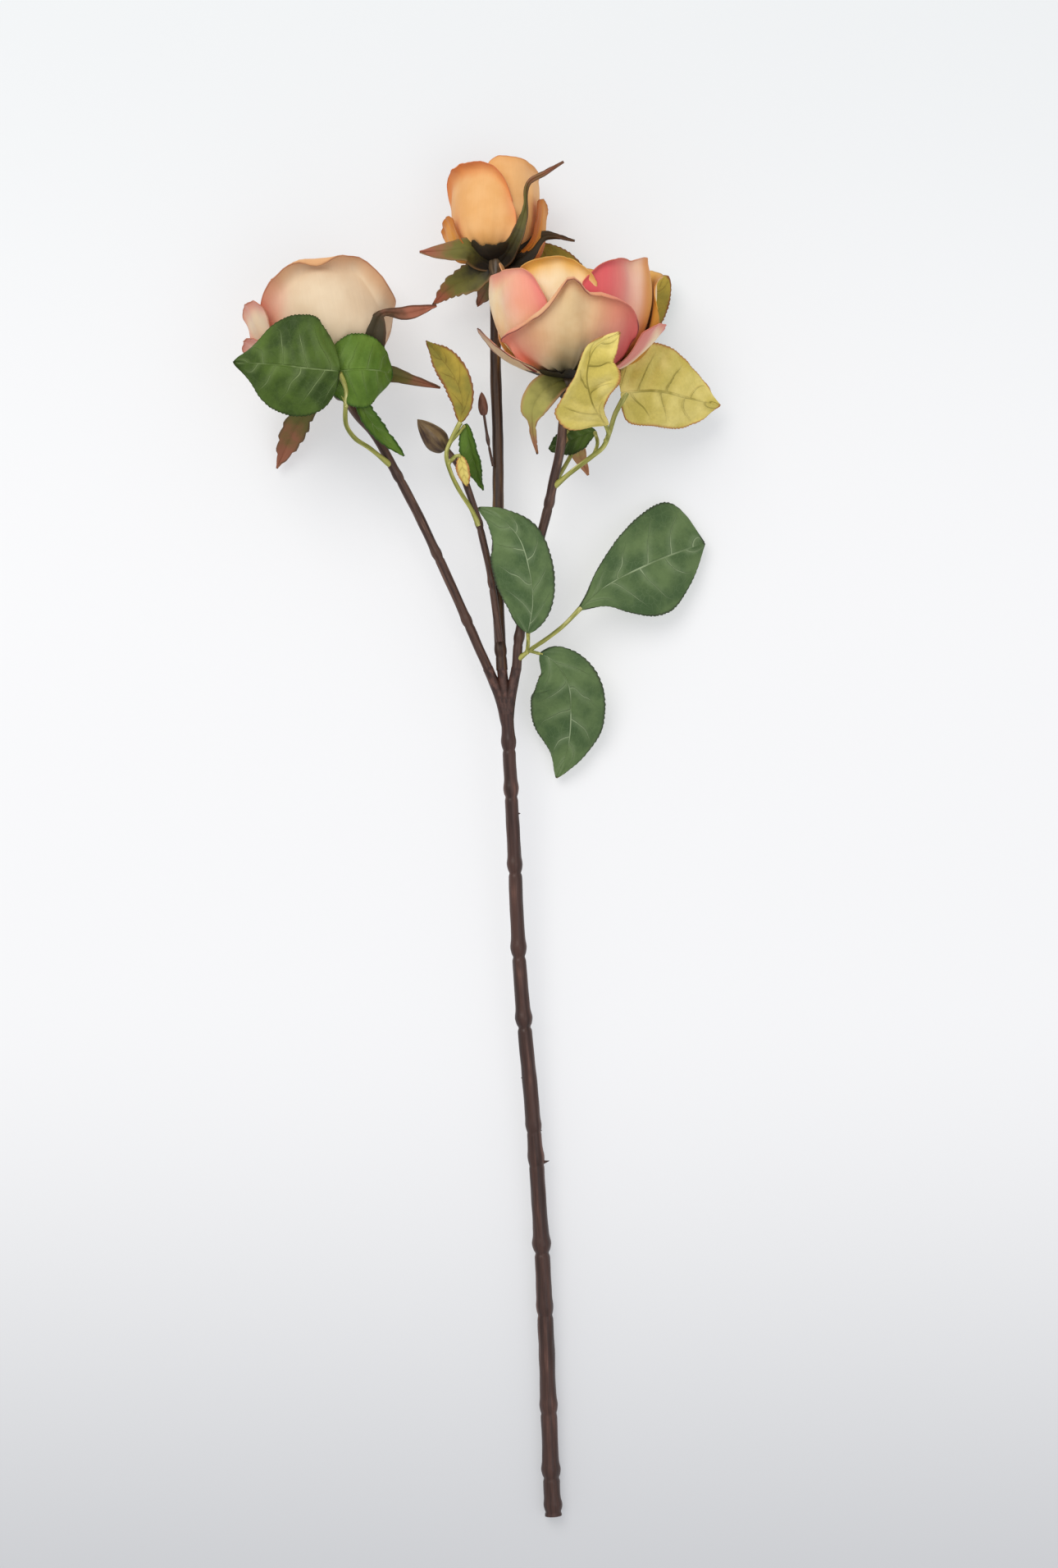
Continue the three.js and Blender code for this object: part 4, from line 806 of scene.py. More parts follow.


# A bloom's profile is its bowl as (radius, height) in mm. On a petal, phi and half are its place and half
# angle in degrees, inset is its depth inside the bowl, rim (or top, drop and round) is its upper edge, and
# roll is its outward curl in degrees. blush and warm are amounts of spray at the left, right and rim.
# foot is how far up a petal its darker foot, a painted shade, reaches.
BLOOMS = {
    "left": dict(
        matrix=placement((-58.5, 197, 28.4), (-0.2, 0.97, -0.04)), depth=0.98, slot="petal_cream", shade_collar=7,
        profile=[(3, 1), (12, 3), (20.5, 9), (26, 17), (27.2, 27), (25.8, 37), (22.4, 45), (17.6, 51)],
        hip=[(0, -10), (2.4, -9), (4, -6), (5, -3), (4.8, -1), (3.6, 0.2), (0, 0.3)],
        faces=("cream_out", "cream_in"), heart=(9.8, 1.9, 7, 58), petals={
            "front": dict(phi=12, half=78, inset=0, corner=0.1, narrow=0.85,
                          rim=[(-1, 44), (-0.7, 55.6), (-0.5, 61), (-0.36, 64.4), (-0.2, 65.8), (-0.02, 64.8),
                               (0.12, 62.2), (0.26, 62), (0.4, 61.6), (0.5, 56.4), (0.6, 48.5), (0.75, 43.5),
                               (1, 38)], roll=275, roll_length=10, roll_sides=(0.9, 0.75), roll_fade=1.4,
                          ruffle=0.3, blush=(0.9, 0.1, 0.2), blush_in=0.42, warm=(0, 0, 0.55), pleats=0.5,
                          folds=[(0.32, 0.05, 0.5, 0.1, 0.6), (0.5, 0.06, 0.45, 0.1, 0.55),
                                 (-0.2, 0.2, 0.5, 0.3, 1.0)]),
            "side": dict(phi=-66, half=50, inset=2.0, top=60.5, drop=15, corner=0.26, roll=75, roll_length=4,
                         roll_sides=(0.3, 1), ruffle=0.4, scallop=0.6, blush=(0.9, 0.8, 0.5), blush_in=0.1,
                         warm=(0, 0, 0.8)),
            "back_right": dict(phi=129, half=44, inset=0.8, top=60, drop=10, roll=80, ruffle=0.8,
                               blush=(0.6, 0.5, 0.5)),
            "back_left": dict(phi=-141, half=44, inset=0.2, top=59, drop=10, roll=80, ruffle=0.8,
                              blush=(0.6, 0.5, 0.5)),
            "outer_upper": dict(phi=-66, half=24, inset=-1.8, top=48, drop=5, round=3.4, start=10, narrow=0.8,
                                roll=60, roll_length=3.5, ruffle=0.3, lean_out=4.8, blush=(0.7, 0.4, 0.7),
                                blush_in=0.55, corner=0.1, side_left=70, side_right=60),
            "outer_lower": dict(phi=-72, half=25, inset=-3, top=35.5, drop=4, round=3.4, start=8, narrow=0.8,
                                roll=70, roll_length=3.5, ruffle=0.3, lean_out=6, blush=(0.6, 0.5, 0.8),
                                blush_in=0.55, corner=0.1, side_left=70, side_right=60),
            "inner_right": dict(phi=62, half=66, inset=4.6, top=60, drop=14, roll=60, roll_length=4,
                                ruffle=0.6, scallop=1.4, blush=(0.3, 0.3, 0.6)),
            "inner_left": dict(phi=-62, half=66, inset=6.4, top=65, drop=11, roll=40, ruffle=0.6, scallop=1.4,
                               blush=(0.3, 0.3, 0.6)),
            "inner_back": dict(phi=180, half=66, inset=8.4, top=60, drop=11, roll=40, ruffle=0.8, scallop=1.4,
                               blush=(0.3, 0.3, 0.6)),
        }),
    "top": dict(
        matrix=placement((9.5, 247, 32.6), (0.0, 0.92, -0.36)), depth=1.0, slot="petal_orange", shade_collar=9.6,
        profile=[(2.5, 0), (10, 1), (15.6, 4.2), (18.4, 11), (19, 20), (19, 30), (18.4, 38), (17, 43),
                 (14.4, 48)],
        hip=[(0, -9), (2.0, -8.6), (3.0, -6), (3.6, -2.5), (3.6, -1), (3, 0.2), (0, 0.3)],
        faces=("orange_out", "orange_in"), heart=(7.8, 1.7, 5, 50), petals={
            "front": dict(phi=-40, half=68, inset=0, narrow=0.8, corner=0.12,
                          rim=[(-1, 40), (-0.75, 47), (-0.4, 49.5), (0, 50), (0.35, 48), (0.65, 43.5),
                               (0.85, 37), (1, 29)], roll=220, roll_length=5.6, roll_sides=(0.6, 0.6),
                          roll_fade=1.6, side_left=10, side_right=50, blush=(0.0, 0.6, 0.45), blush_in=0.55,
                          blush_low=0.4, warm=(0.9, 0, 0.5), pleats=0.25,
                          folds=[(0.5, 0.1, 0.9, 0.0, 0.6), (0.1, 0.25, 0.4, 0.1, 0.9)]),
            "side": dict(phi=50, half=68, inset=1.4, skew=1.4, top=53.5, drop=6, round=7, narrow=0.85,
                         corner=0.05, roll=50, roll_length=3, blush=(0.0, 0.05, 0.05), warm=(0.2, 0.3, 0.1),
                         folds=[(-0.3, 0.07, -0.7, 0.0, 0.5), (0.1, 0.06, 0.5, 0.2, 0.9)]),
            "back": dict(phi=180, half=64, inset=0.2, top=49, drop=9, roll=70, blush=(0.5, 0.5, 0.6)),
            "outer_left": dict(phi=-80, half=28, inset=-1.6, top=26.5, drop=3, round=4, start=4, roll=30,
                               roll_length=3, lean_out=2.4, blush=(0.2, 0.5, 0.5),
                               faces=("orange_deep", "orange_in"), corner=0.12, narrow=0.8),
            "outer_right": dict(phi=80, half=27, inset=-1.8, top=35.5, drop=3, round=4, start=4, roll=20,
                                roll_length=3, lean_out=0.4, blush=(0.9, 0.9, 0.4), narrow=0.8,
                                faces=("orange_deep", "orange_in"), corner=0.1),
            "inner_left": dict(phi=-80, half=80, inset=4.2, top=51, drop=9, roll=30, blush=(0.5, 0.5, 0.6)),
            "inner_right": dict(phi=110, half=84, inset=6.2, top=50, drop=9, roll=30, blush=(0.5, 0.5, 0.6)),
        }),
    "right": dict(
        matrix=placement((40, 196, 38), (0.02, 0.98, 0.12)), depth=0.97, slot="petal_tan", shade_collar=13,
        profile=[(3, 1), (14, 3), (26, 9), (33, 19), (36, 31), (35.5, 42), (33, 51), (29, 58)],
        hip=[(0, -10), (2.6, -9), (4.4, -6), (5.4, -3), (5.2, -1), (4, 0.2), (0, 0.3)],
        faces=("tan_cream", "tan_in"), heart=(10.8, 2.2, 8, 62), petals={
            "front": dict(phi=-2, half=57, inset=0, corner=0.0, narrow=1.0,
                          rim=[(-1, 33), (-0.86, 39), (-0.57, 43.5), (-0.35, 48.5), (-0.18, 54.5),
                               (0.0, 62.3), (0.1, 61.3), (0.22, 56.6), (0.38, 56.2), (0.55, 54.6), (0.74, 50),
                               (0.9, 42.5), (1, 35)], roll=205, roll_length=5.6, roll_sides=(1.1, 0.8),
                          side_left=170, side_right=40, side_length=5, ruffle=0.2, pleats=0.6,
                          blush=(0.65, 1.0, 0.2), blush_in=-0.02, blush_low=0.25, blush_width=1.0,
                          warm=(1.0, 0, 0.3), warm_high=0.45, foot=0.6, faces=("tan_out", "tan_out"),
                          folds=[(0.0, 0.07, 1.5, 0.55, 1.3), (-0.1, 0.05, -1.2, 0.7, 1.3),
                                 (0.2, 0.1, -2.0, 0.5, 1.2), (0.14, 0.05, 1.5, 0.05, 0.75),
                                 (0.27, 0.05, -1.3, 0.05, 0.6), (-0.35, 0.2, 1.2, 0.2, 1.1),
                                 (0.62, 0.14, 1.2, 0.2, 1.1)]),
            "left": dict(phi=-66, half=57, inset=2.4, corner=0.14,
                         rim=[(-1, 42), (-0.8, 53), (-0.5, 60), (-0.1, 61.5), (0.35, 63), (0.6, 63.5),
                              (0.8, 60), (1, 50)], roll=75, roll_length=4, roll_sides=(0.1, 0.9), ruffle=0.5,
                         side_left=4, blush=(0.0, 0.95, 0.75), blush_in=-0.3, blush_width=1.2, blush_low=0.45,
                         side_right=4, folds=[(0.0, 0.15, -1.0, 0.5, 1.3), (0.4, 0.2, 1.0, 0.4, 1.3)]),
            "right_outer": dict(phi=117, half=44, inset=-0.5, top=65, drop=8, round=3, roll=90, roll_length=5,
                                ruffle=1.2, scallop=1.0, side_left=165, side_length=5, blush=(0.0, 0.2, 0.2),
                                warm=(1.0, 0, 0.5), warm_high=1.5),
            "back_left": dict(phi=-152, half=44, inset=0.4, top=59, drop=14, corner=0.3, roll=60, ruffle=0.5,
                              blush=(0.5, 0.5, 0.6)),
            "back_right": dict(phi=166, half=40, inset=2.6, top=60, drop=12, roll=80, ruffle=0.8,
                               blush=(0.5, 0.5, 0.6)),
            "outer_left": dict(phi=-84, half=44, inset=-1.0, top=40, drop=13, round=1.6, start=6, roll=12,
                               roll_length=3, lean_out=4, blush=(0.1, 0.1, 0.7), corner=0.2, foot=0.2,
                               side_left=4, side_right=4, faces=("tan_brown", "tan_cream")),
            "outer_right": dict(phi=80, half=30, inset=-1.4, top=43, drop=4, round=4, start=10, roll=20,
                                roll_length=4, lean_out=4.4, blush=(0.8, 0.8, 0.9), blush_in=0.0, corner=0.06,
                                ruffle=0.8, faces=("tan_deep", "tan_deep")),
            "arch": dict(phi=-14, half=40, inset=5, top=72, drop=14, round=2.2, roll=150, roll_length=5,
                         ruffle=0.5, roll_fade=1.5, blush=(0.05, 0.05, 0.0), warm=(0.2, 0.2, 0.9)),
            "right_inner": dict(phi=58, half=52, inset=2.8, skew=1.6, corner=0.06,
                                rim=[(-1, 58), (-0.75, 66.5), (-0.45, 69.5), (-0.1, 69), (0.25, 69.5),
                                     (0.6, 68.5), (0.85, 64), (1, 55)], roll=100, roll_length=3.6,
                                roll_sides=(1, 0.15), blush=(1.0, 0.0, 0.3), blush_in=-0.5, ruffle=0.4,
                                side_right=4, blush_low=0.0, blush_width=1.2, warm=(0, 1, 0.2), warm_in=0.0,
                                warm_width=0.36, warm_high=1.5, faces=("tan_deep", "tan_deep"),
                                folds=[(-0.15, 0.12, -1.2, 0.4, 1.3), (0.3, 0.2, 1.0, 0.3, 1.3)]),
            "inner_left": dict(phi=-104, half=56, inset=7, top=68, drop=10, roll=60, ruffle=0.8, scallop=1.4,
                               blush=(0.3, 0.3, 0.4), warm=(0, 0, 0.5)),
            "inner_back": dict(phi=170, half=66, inset=9.2, top=68, drop=10, roll=60, ruffle=0.8, scallop=1.4,
                               blush=(0.3, 0.3, 0.6)),
        }),
}


def petal_place(bloom, line, spec, seed, u, v):
    """A point on a petal: a patch of the bloom's bowl with a rolled rim and sides, ruffles and pleats."""
    start = spec.get("start", 2.0)
    if "rim" in spec:
        top = read(spec["rim"], u)
    else:
        power = spec.get("round", 2.2)
        top = spec["top"] - spec.get("drop", 8) * abs(u) ** power
    top += spec.get("scallop", 0.0) * math.sin(u * 7.3 + seed) * (1 - abs(u) ** 4)
    top += 0.35 * noise.noise(Vector((u * 9, seed, 2.0)))
    height = top - start
    point, direction = line.at(start + height * v)
    narrow = spec.get("narrow", 0.5)
    spread = narrow + (1 - narrow) * ramp(v, 0, 0.55)
    spread *= 1 - spec.get("corner", 0.16) * ramp(v, 0.55, 1.05) ** 1.5
    half = math.radians(spec["half"]) * spread
    radius = max(point.x, 8.0)
    out = -spec["inset"] + spec.get("lean_out", 0.0) * v * v + spec.get("skew", 0.0) * u
    back = 0.0
    # The rim rolls outward over its last few millimetres, and the sides do so by a little.
    reach = spec.get("roll_length", 5.0)
    bias = spec.get("roll_sides", (1.0, 1.0))
    crumple = noise.noise(Vector((u * 3.4, seed * 1.3, 9.0)))
    bend = spec.get("roll", 40) * mix(bias[0], bias[1], ramp(u, -0.7, 0.7))
    bend *= 1 - 0.85 * abs(u) ** spec.get("roll_fade", 6)
    bend = math.radians(max(bend * (1 + 0.3 * crumple), 1.0))
    reach *= 1 + 0.25 * noise.noise(Vector((u * 2.6, seed * 2.1, 4.0)))
    to_rim = height * (1 - v)
    if to_rim < reach:
        w = reach - to_rim
        curve = reach / bend
        out += curve * (1 - math.cos(w / curve))
        back += w - curve * math.sin(w / curve)
    turn = 0.0
    side_reach = spec.get("side_length", 4.0)
    side_bend = math.radians(spec.get("side_left", 25) if u < 0 else spec.get("side_right", 25))
    to_side = half * radius * (1 - abs(u))
    strength = ramp(v, 0.2, 0.5) * (1 - ramp(v, 0.7, 0.98))
    if to_side < side_reach:
        w = side_reach - to_side
        curve = side_reach / side_bend
        out += curve * (1 - math.cos(w / curve)) * strength
        turn = (w - curve * math.sin(w / curve)) * strength / radius
    late = ramp(v, 0.45, 1.0)
    out += spec.get("ruffle", 0.25) * math.sin(u * 8.2 + seed * 1.7) * late * late
    out += 0.6 * noise.noise(Vector((u * 1.8, v * 2.2, seed * 7.7))) * min(v * 2.5, 1.0)
    out += 0.22 * noise.noise(Vector((u * 6.0, v * 5.0, seed * 3.1)))
    early = (1 - ramp(v, 0.1, 0.6)) * ramp(v, 0.0, 0.08)
    out += spec.get("pleats", 0.3) * math.sin(u * 21 + 2.5 * noise.noise(Vector((u * 3, seed, 0)))) * early
    # Pressed folds run up the cloth: place across, width, height in mm, and where each begins and ends.
    for place, width, lift, low, high in spec.get("folds", ()):
        shape = math.exp(-((u - place - 0.1 * (v - 0.5)) / width) ** 2)
        out += lift * shape * ramp(v, low, low + 0.25) * (1 - 0.8 * ramp(v, high - 0.2, high))
    phi = math.radians(spec["phi"]) + u * half - math.copysign(turn, u)
    r = max(point.x + direction.y * out - direction.x * back, 0.8)
    y = point.y - direction.x * out - direction.y * back
    return on_floor(bloom["matrix"] @ Vector((r * math.sin(phi), y, r * math.cos(phi) * bloom["depth"])))


def side_spray(amounts, u, v, inner, width, low, wander):
    """Spray at the left side, the right side and the rim, as (left, right, rim) amounts."""
    left, right, rim = amounts
    return max(left * ramp(-u + wander, inner, inner + width) * low,
               right * ramp(u + wander, inner, inner + width) * low, rim * ramp(v + 0.5 * wander, 0.8, 1.0))


def petal_masks(line, spec, seed, u, v):
    """Where the sprays, the singed rim and the darker foot of a petal lie; the darker foot is painted shade.
    """
    wander = 0.16 * noise.noise(Vector((u * 2.5, v * 2.5, seed + 0.5)))
    start, inner = spec.get("blush_low", 0.05), spec.get("blush_in", 0.35)
    low = 0.2 + 0.8 * ramp(v, start, start + 0.35)
    warm_low = 1 - ramp(v, spec.get("warm_high", 0.8), spec.get("warm_high", 0.8) + 0.3)
    warm = side_spray(spec.get("warm", (0, 0, 0)), u, v, spec.get("warm_in", 0.5),
                      spec.get("warm_width", 0.5), warm_low, wander)
    if "rim" in spec:
        height = read(spec["rim"], u) - spec.get("start", 2.0)
    else:
        height = spec["top"] - spec.get("drop", 8) * abs(u) ** 2.2
    side = math.radians(spec["half"]) * 20 * (1 - abs(u)) + 3 * (1 - ramp(v, 0.1, 0.5))
    # The darker foot (the heart mask) is painted shade. It reaches a share foot of the way up the petal.
    foot = spec.get("foot", 0.3)
    return {"blush": side_spray(spec.get("blush", (0.4, 0.4, 0.4)), u, v, inner, spec.get("blush_width", 0.6),
                                low, wander), "warm": warm,
            "edge": 1 - ramp(min(height * (1 - v), side), 0.1, 0.7), "heart": 1 - ramp(v + wander, 0.0, foot)}


def make_petal(name, bloom, line, spec, seed, thickness, columns=44, rows=44):
    """One petal with its masks, its thickness and a cloth on each face."""
    piece = shaped_grid(name, columns, rows,
                        lambda u, v: petal_place(bloom, line, spec, seed, u, v),
                        lambda u, v: petal_masks(line, spec, seed, u, v))
    faces = [MATERIALS[key] for key in spec.get("faces", bloom["faces"])]
    return thicken(piece, thickness, faces)


def profile_line(bloom):
    """The outline of a bloom's bowl, from its foot to its rim."""
    return Line([(r, y, 0) for r, y in bloom["profile"]])


def make_petals(props):
    """The separate petals of each bloom."""
    thickness = props.petal_thickness / MM
    for k, (side, bloom) in enumerate(BLOOMS.items()):
        line = profile_line(bloom)
        for n, (key, spec) in enumerate(bloom["petals"].items()):
            node = f"{side}_rose_petal_{key}"
            piece = make_petal(node + "_look", bloom, line, spec, 3.1 * n + 17 * k, thickness)
            finished(piece, bloom["slot"], node)


def make_hearts(props):
    """The tightly rolled inner petals, turned round the axis by the golden angle."""
    thickness = props.petal_thickness / MM
    for k, (side, bloom) in enumerate(BLOOMS.items()):
        line = profile_line(bloom)
        inset, pitch, count, top = bloom["heart"]
        parts = []
        for n in range(count):
            spec = dict(phi=(137.5 * n + 40 * k) % 360, half=78 + 6 * n, inset=inset + pitch * n,
                        top=top - 0.6 * n, drop=7, start=6, roll=35, roll_length=4, ruffle=0.5, scallop=0.8,
                        blush=(0.3, 0.3, 0.6), narrow=0.8)
            name = f"{side}_heart_{n}"
            parts.append(make_petal(name, bloom, line, spec, 50 + 2.3 * n + k, thickness, 40, 22))
        finished(joined(f"{side}_rose_heart_look", parts), bloom["slot"], f"{side}_rose_core")


def pressed_sepal(azimuth, middle, top, width):
    """A plain sepal pressed straight up the far side of its bloom."""
    return dict(wrap=[(azimuth, 3, 2.4), (azimuth, middle, 2.4), (azimuth, top, 2.2)], rib=[],
                widths=[(0, 1.5), (0.4, width), (1, 0.2)])


# Ribs of the sepals: wrap points are azimuth, length up the bowl and offset; rib points are in mm.
SEPALS = {
    "left": [
        dict(wrap=[(50, 3, 2.6), (46, 15, 2.6), (46, 26, 2.6), (54, 33, 3)],
             rib=[(-29, 222, 46), (-16, 226, 41)],
             widths=[(0, 1.5), (0.2, 4.6), (0.42, 6.4), (0.56, 3.6), (0.64, 1.6), (0.8, 2.9), (0.9, 1.9),
                     (1, 0.2)], faces=("sepal_wedge", "sepal_in")),
        dict(wrap=[(80, 2, 2.4), (86, 6, 5)], rib=[(-38, 199, 27), (-27, 197, 23), (-15, 194, 20)],
             widths=[(0, 1.5), (0.35, 4.2), (0.6, 3), (1, 0.2)]),
        dict(wrap=[(-120, 2, 2.4)], rib=[(-66, 190, 19), (-76, 181, 11), (-87, 161, 4)], teeth=1.5,
             widths=[(0, 1.5), (0.4, 3.4), (0.62, 5.6), (0.8, 4.2), (1, 0.3)]),
        pressed_sepal(160, 16, 30, 3.6),
        dict(wrap=[(-30, 3, 2.4), (-34, 16, 2.4), (-36, 28, 2.2)], rib=[],
             widths=[(0, 1.5), (0.4, 3.6), (1, 0.2)]),
    ],
    "top": [
        dict(wrap=[(-60, 2, 2.4)], rib=[(-2, 250, 42), (-11, 249, 43.6), (-23, 249, 41)], fold=-0.25,
             widths=[(0, 2), (0.22, 5.5), (0.55, 4.6), (0.8, 2.8), (0.92, 1.4), (1, 0.3)],
             faces=("sepal_in", "sepal_painted_shade")),
        dict(wrap=[(-90, 1, 2.4)], rib=[(0, 240, 33), (-10, 236, 28), (-18, 230, 20)], teeth=1.2,
             widths=[(0, 2), (0.3, 6.2), (0.6, 4.8), (1, 0.4)], faces=("sepal_in", "sepal_painted_shade")),
        dict(wrap=[(35, 3, 2.6), (30, 14, 2.8), (34, 24, 3)],
             rib=[(23, 277, 46), (30, 281, 48), (38, 286, 47)],
             widths=[(0, 2), (0.14, 3.8), (0.3, 2.8), (0.46, 1.8), (0.58, 0.7), (0.78, 1.3), (1, 0.25)]),
        dict(wrap=[(60, 3, 2.4), (64, 9, 3)], rib=[(30, 257, 35), (43, 255, 34)],
             widths=[(0, 2), (0.3, 4.4), (0.55, 2.8), (0.8, 1.1), (1, 0.3)],
             faces=("sepal_painted_shade", "sepal_in")),
        dict(wrap=[(170, 2, 2.2)], rib=[(7, 240, 20), (4, 236, 12), (1, 232, 5)],
             widths=[(0, 2), (0.3, 4.6), (0.7, 3.6), (1, 0.3)], faces=("sepal_out", "sepal_painted_shade")),
    ],
    "right": [
        dict(wrap=[(-20, 1, 2.4)], rib=[(33, 192, 45), (26, 184, 45), (25, 174, 36), (27, 165, 26)],
             widths=[(0, 2), (0.3, 6.5), (0.52, 5.2), (0.62, 2), (0.75, 1.3), (1, 0.3)],
             faces=("sepal_light", "sepal_painted_shade")),
        dict(wrap=[(175, 1, 2.4)], rib=[(43, 184, 28), (43, 171, 23), (49, 157, 14)],
             widths=[(0, 2), (0.4, 3.8), (0.75, 3.4), (1, 0.3)], faces=("sepal_light", "sepal_in")),
        pressed_sepal(-140, 18, 30, 3.8),
        pressed_sepal(140, 18, 30, 3.8),
        pressed_sepal(84, 16, 27, 3.6),
    ],
}


def outside(bloom, line, azimuth, along, out):
    """A point just outside a bloom's bowl."""
    point, direction = line.at(along)
    phi = math.radians(azimuth)
    r = point.x + direction.y * out
    y = point.y - direction.x * out
    return bloom["matrix"] @ Vector((r * math.sin(phi), y, r * math.cos(phi) * bloom["depth"]))


def turned(name, matrix, outline, material, sides=28, rings=40, lobes=0.0, count=5):
    """A shape turned about a bloom's or bud's own axis, with shallow lobes round it."""
    line = Line([(r, y, 0) for r, y in outline])

    def place(u, v):
        point, _ = line.share(v)
        angle = math.pi * u
        r = max(point.x, 0.0) * (1 + lobes * math.cos(count * angle))
        if v in (0.0, 1.0):
            r = 0.0
        return matrix @ Vector((r * math.sin(angle), point.y, r * math.cos(angle)))

    return weld(shaped_grid(name, sides, rings, place, even=True), material)


def make_sepal(name, bloom, line, spec, thickness, seed):
    """A sepal: a narrow leaf whose rib leaves the hip, runs up the bowl and then goes its own way."""
    root = bloom["matrix"] @ Vector((0, -3, 0))
    rib = [root] + [outside(bloom, line, *p) for p in spec["wrap"]] + [Vector(p) for p in spec["rib"]]
    way = Line(rib)
    if spec["rib"]:
        up = Vector((0, 0.1, 1)).normalized()
    else:
        up = (rib[len(rib) // 2] - bloom["matrix"] @ Vector((0, 12, 0))).normalized()
    leaf = dict(left=4, right=4, wide=0.4, full=0.7, fold=spec.get("fold", 0.18), quilt=0.0, wave=0.6,
                hem=0.5, crease=-0.3, teeth=9 if spec.get("teeth") else 5, widths=spec["widths"])
    piece = shaped_grid(name, 14, 48,
                        lambda u, v: leaf_point(leaf, way, up, u, v, spec.get("teeth", 0.2), seed),
                        lambda u, v: {"edge": ramp(abs(u), 0.85, 1.0)})
    faces = spec.get("faces", ("sepal_out", "sepal_in"))
    return thicken(piece, thickness, [MATERIALS[key] for key in faces])


def shade_collar(name, bloom, line, height, material):
    """A dark ragged cup at the foot of a bowl, a sheet of painted shade under the bloom: up its outside and
    back down its inside.
    """
    def place(u, v):
        angle = math.pi * u
        torn = noise.noise(Vector((2.6 * math.cos(angle), 2.6 * math.sin(angle), height)))
        torn += 0.5 * noise.noise(Vector((8 * math.cos(angle), 8 * math.sin(angle), height)))
        along = 0.6 + height * (1 + 0.5 * torn) * (0.5 - 0.5 * math.cos(2 * math.pi * v))
        return outside(bloom, line, math.degrees(angle), along, 1.5 + 0.35 * math.sin(2 * math.pi * v))

    return weld(shaped_grid(name, 90, 24, place, even=True), material)


def make_calyxes(props):
    """Each bloom's hip, dark cup of painted shade and sepals, as one piece."""
    for k, (side, bloom) in enumerate(BLOOMS.items()):
        line = profile_line(bloom)
        parts = [turned(f"{side}_hip", bloom["matrix"], bloom["hip"], MATERIALS["hip"], lobes=0.05)]
        # A dark cup round the hip, put there as painted shade under the bloom.
        parts.append(shade_collar(f"{side}_collar", bloom, line, bloom["shade_collar"], MATERIALS["sepal_painted_shade"]))
        for n, spec in enumerate(SEPALS[side]):
            name = f"{side}_sepal_{n}"
            parts.append(make_sepal(name, bloom, line, spec, props.sepal_thickness / MM, 9 * k + n))
        finished(joined(f"{side}_rose_calyx_look", parts), "calyx", f"{side}_rose_calyx")


BUDS = {
    "dark_bud": (placement((-12.6, 166.6, 24.4), (-0.66, 0.72, 0.06)),
                 [(0, 0), (2.6, 0.6), (4.8, 4), (5, 7), (3.6, 12), (1.6, 16), (0, 18)], "bud", 0.07),
    "small_bud": (placement((4, 181.4, 24.8), (-0.1, 0.98, 0)),
                  [(0, 0), (1.2, 0.4), (2.0, 3), (1.8, 6), (0.9, 9), (0, 10.4)], "small_bud", 0.08),
}


def make_buds():
    """The closed buds."""
    for name, (matrix, outline, finish, lobes) in BUDS.items():
        piece = turned(name + "_look", matrix, outline, MATERIALS[finish], 40, 60, lobes)
        finished(piece, "bud", name)


# ---------------------------------------------------------------- stage
# The camera looks straight down from VIEW_HEIGHT; the picture's long side covers VIEW_SPAN of floor, in m.
VIEW_CENTRE = (0.0234, 0.0229)
VIEW_HEIGHT = 1.3
VIEW_SPAN = 0.688
SENSOR = 36
# Name, place in metres, power in watts and colour of each soft lamp.
LAMPS = (("key", (-0.5, 0.9, 1.4), 12.5, "fffbf4"), ("fill", (0.9, -0.3, 1.8), 3.0, "f8f9ff"))
LAMP_SIZE = 1.2


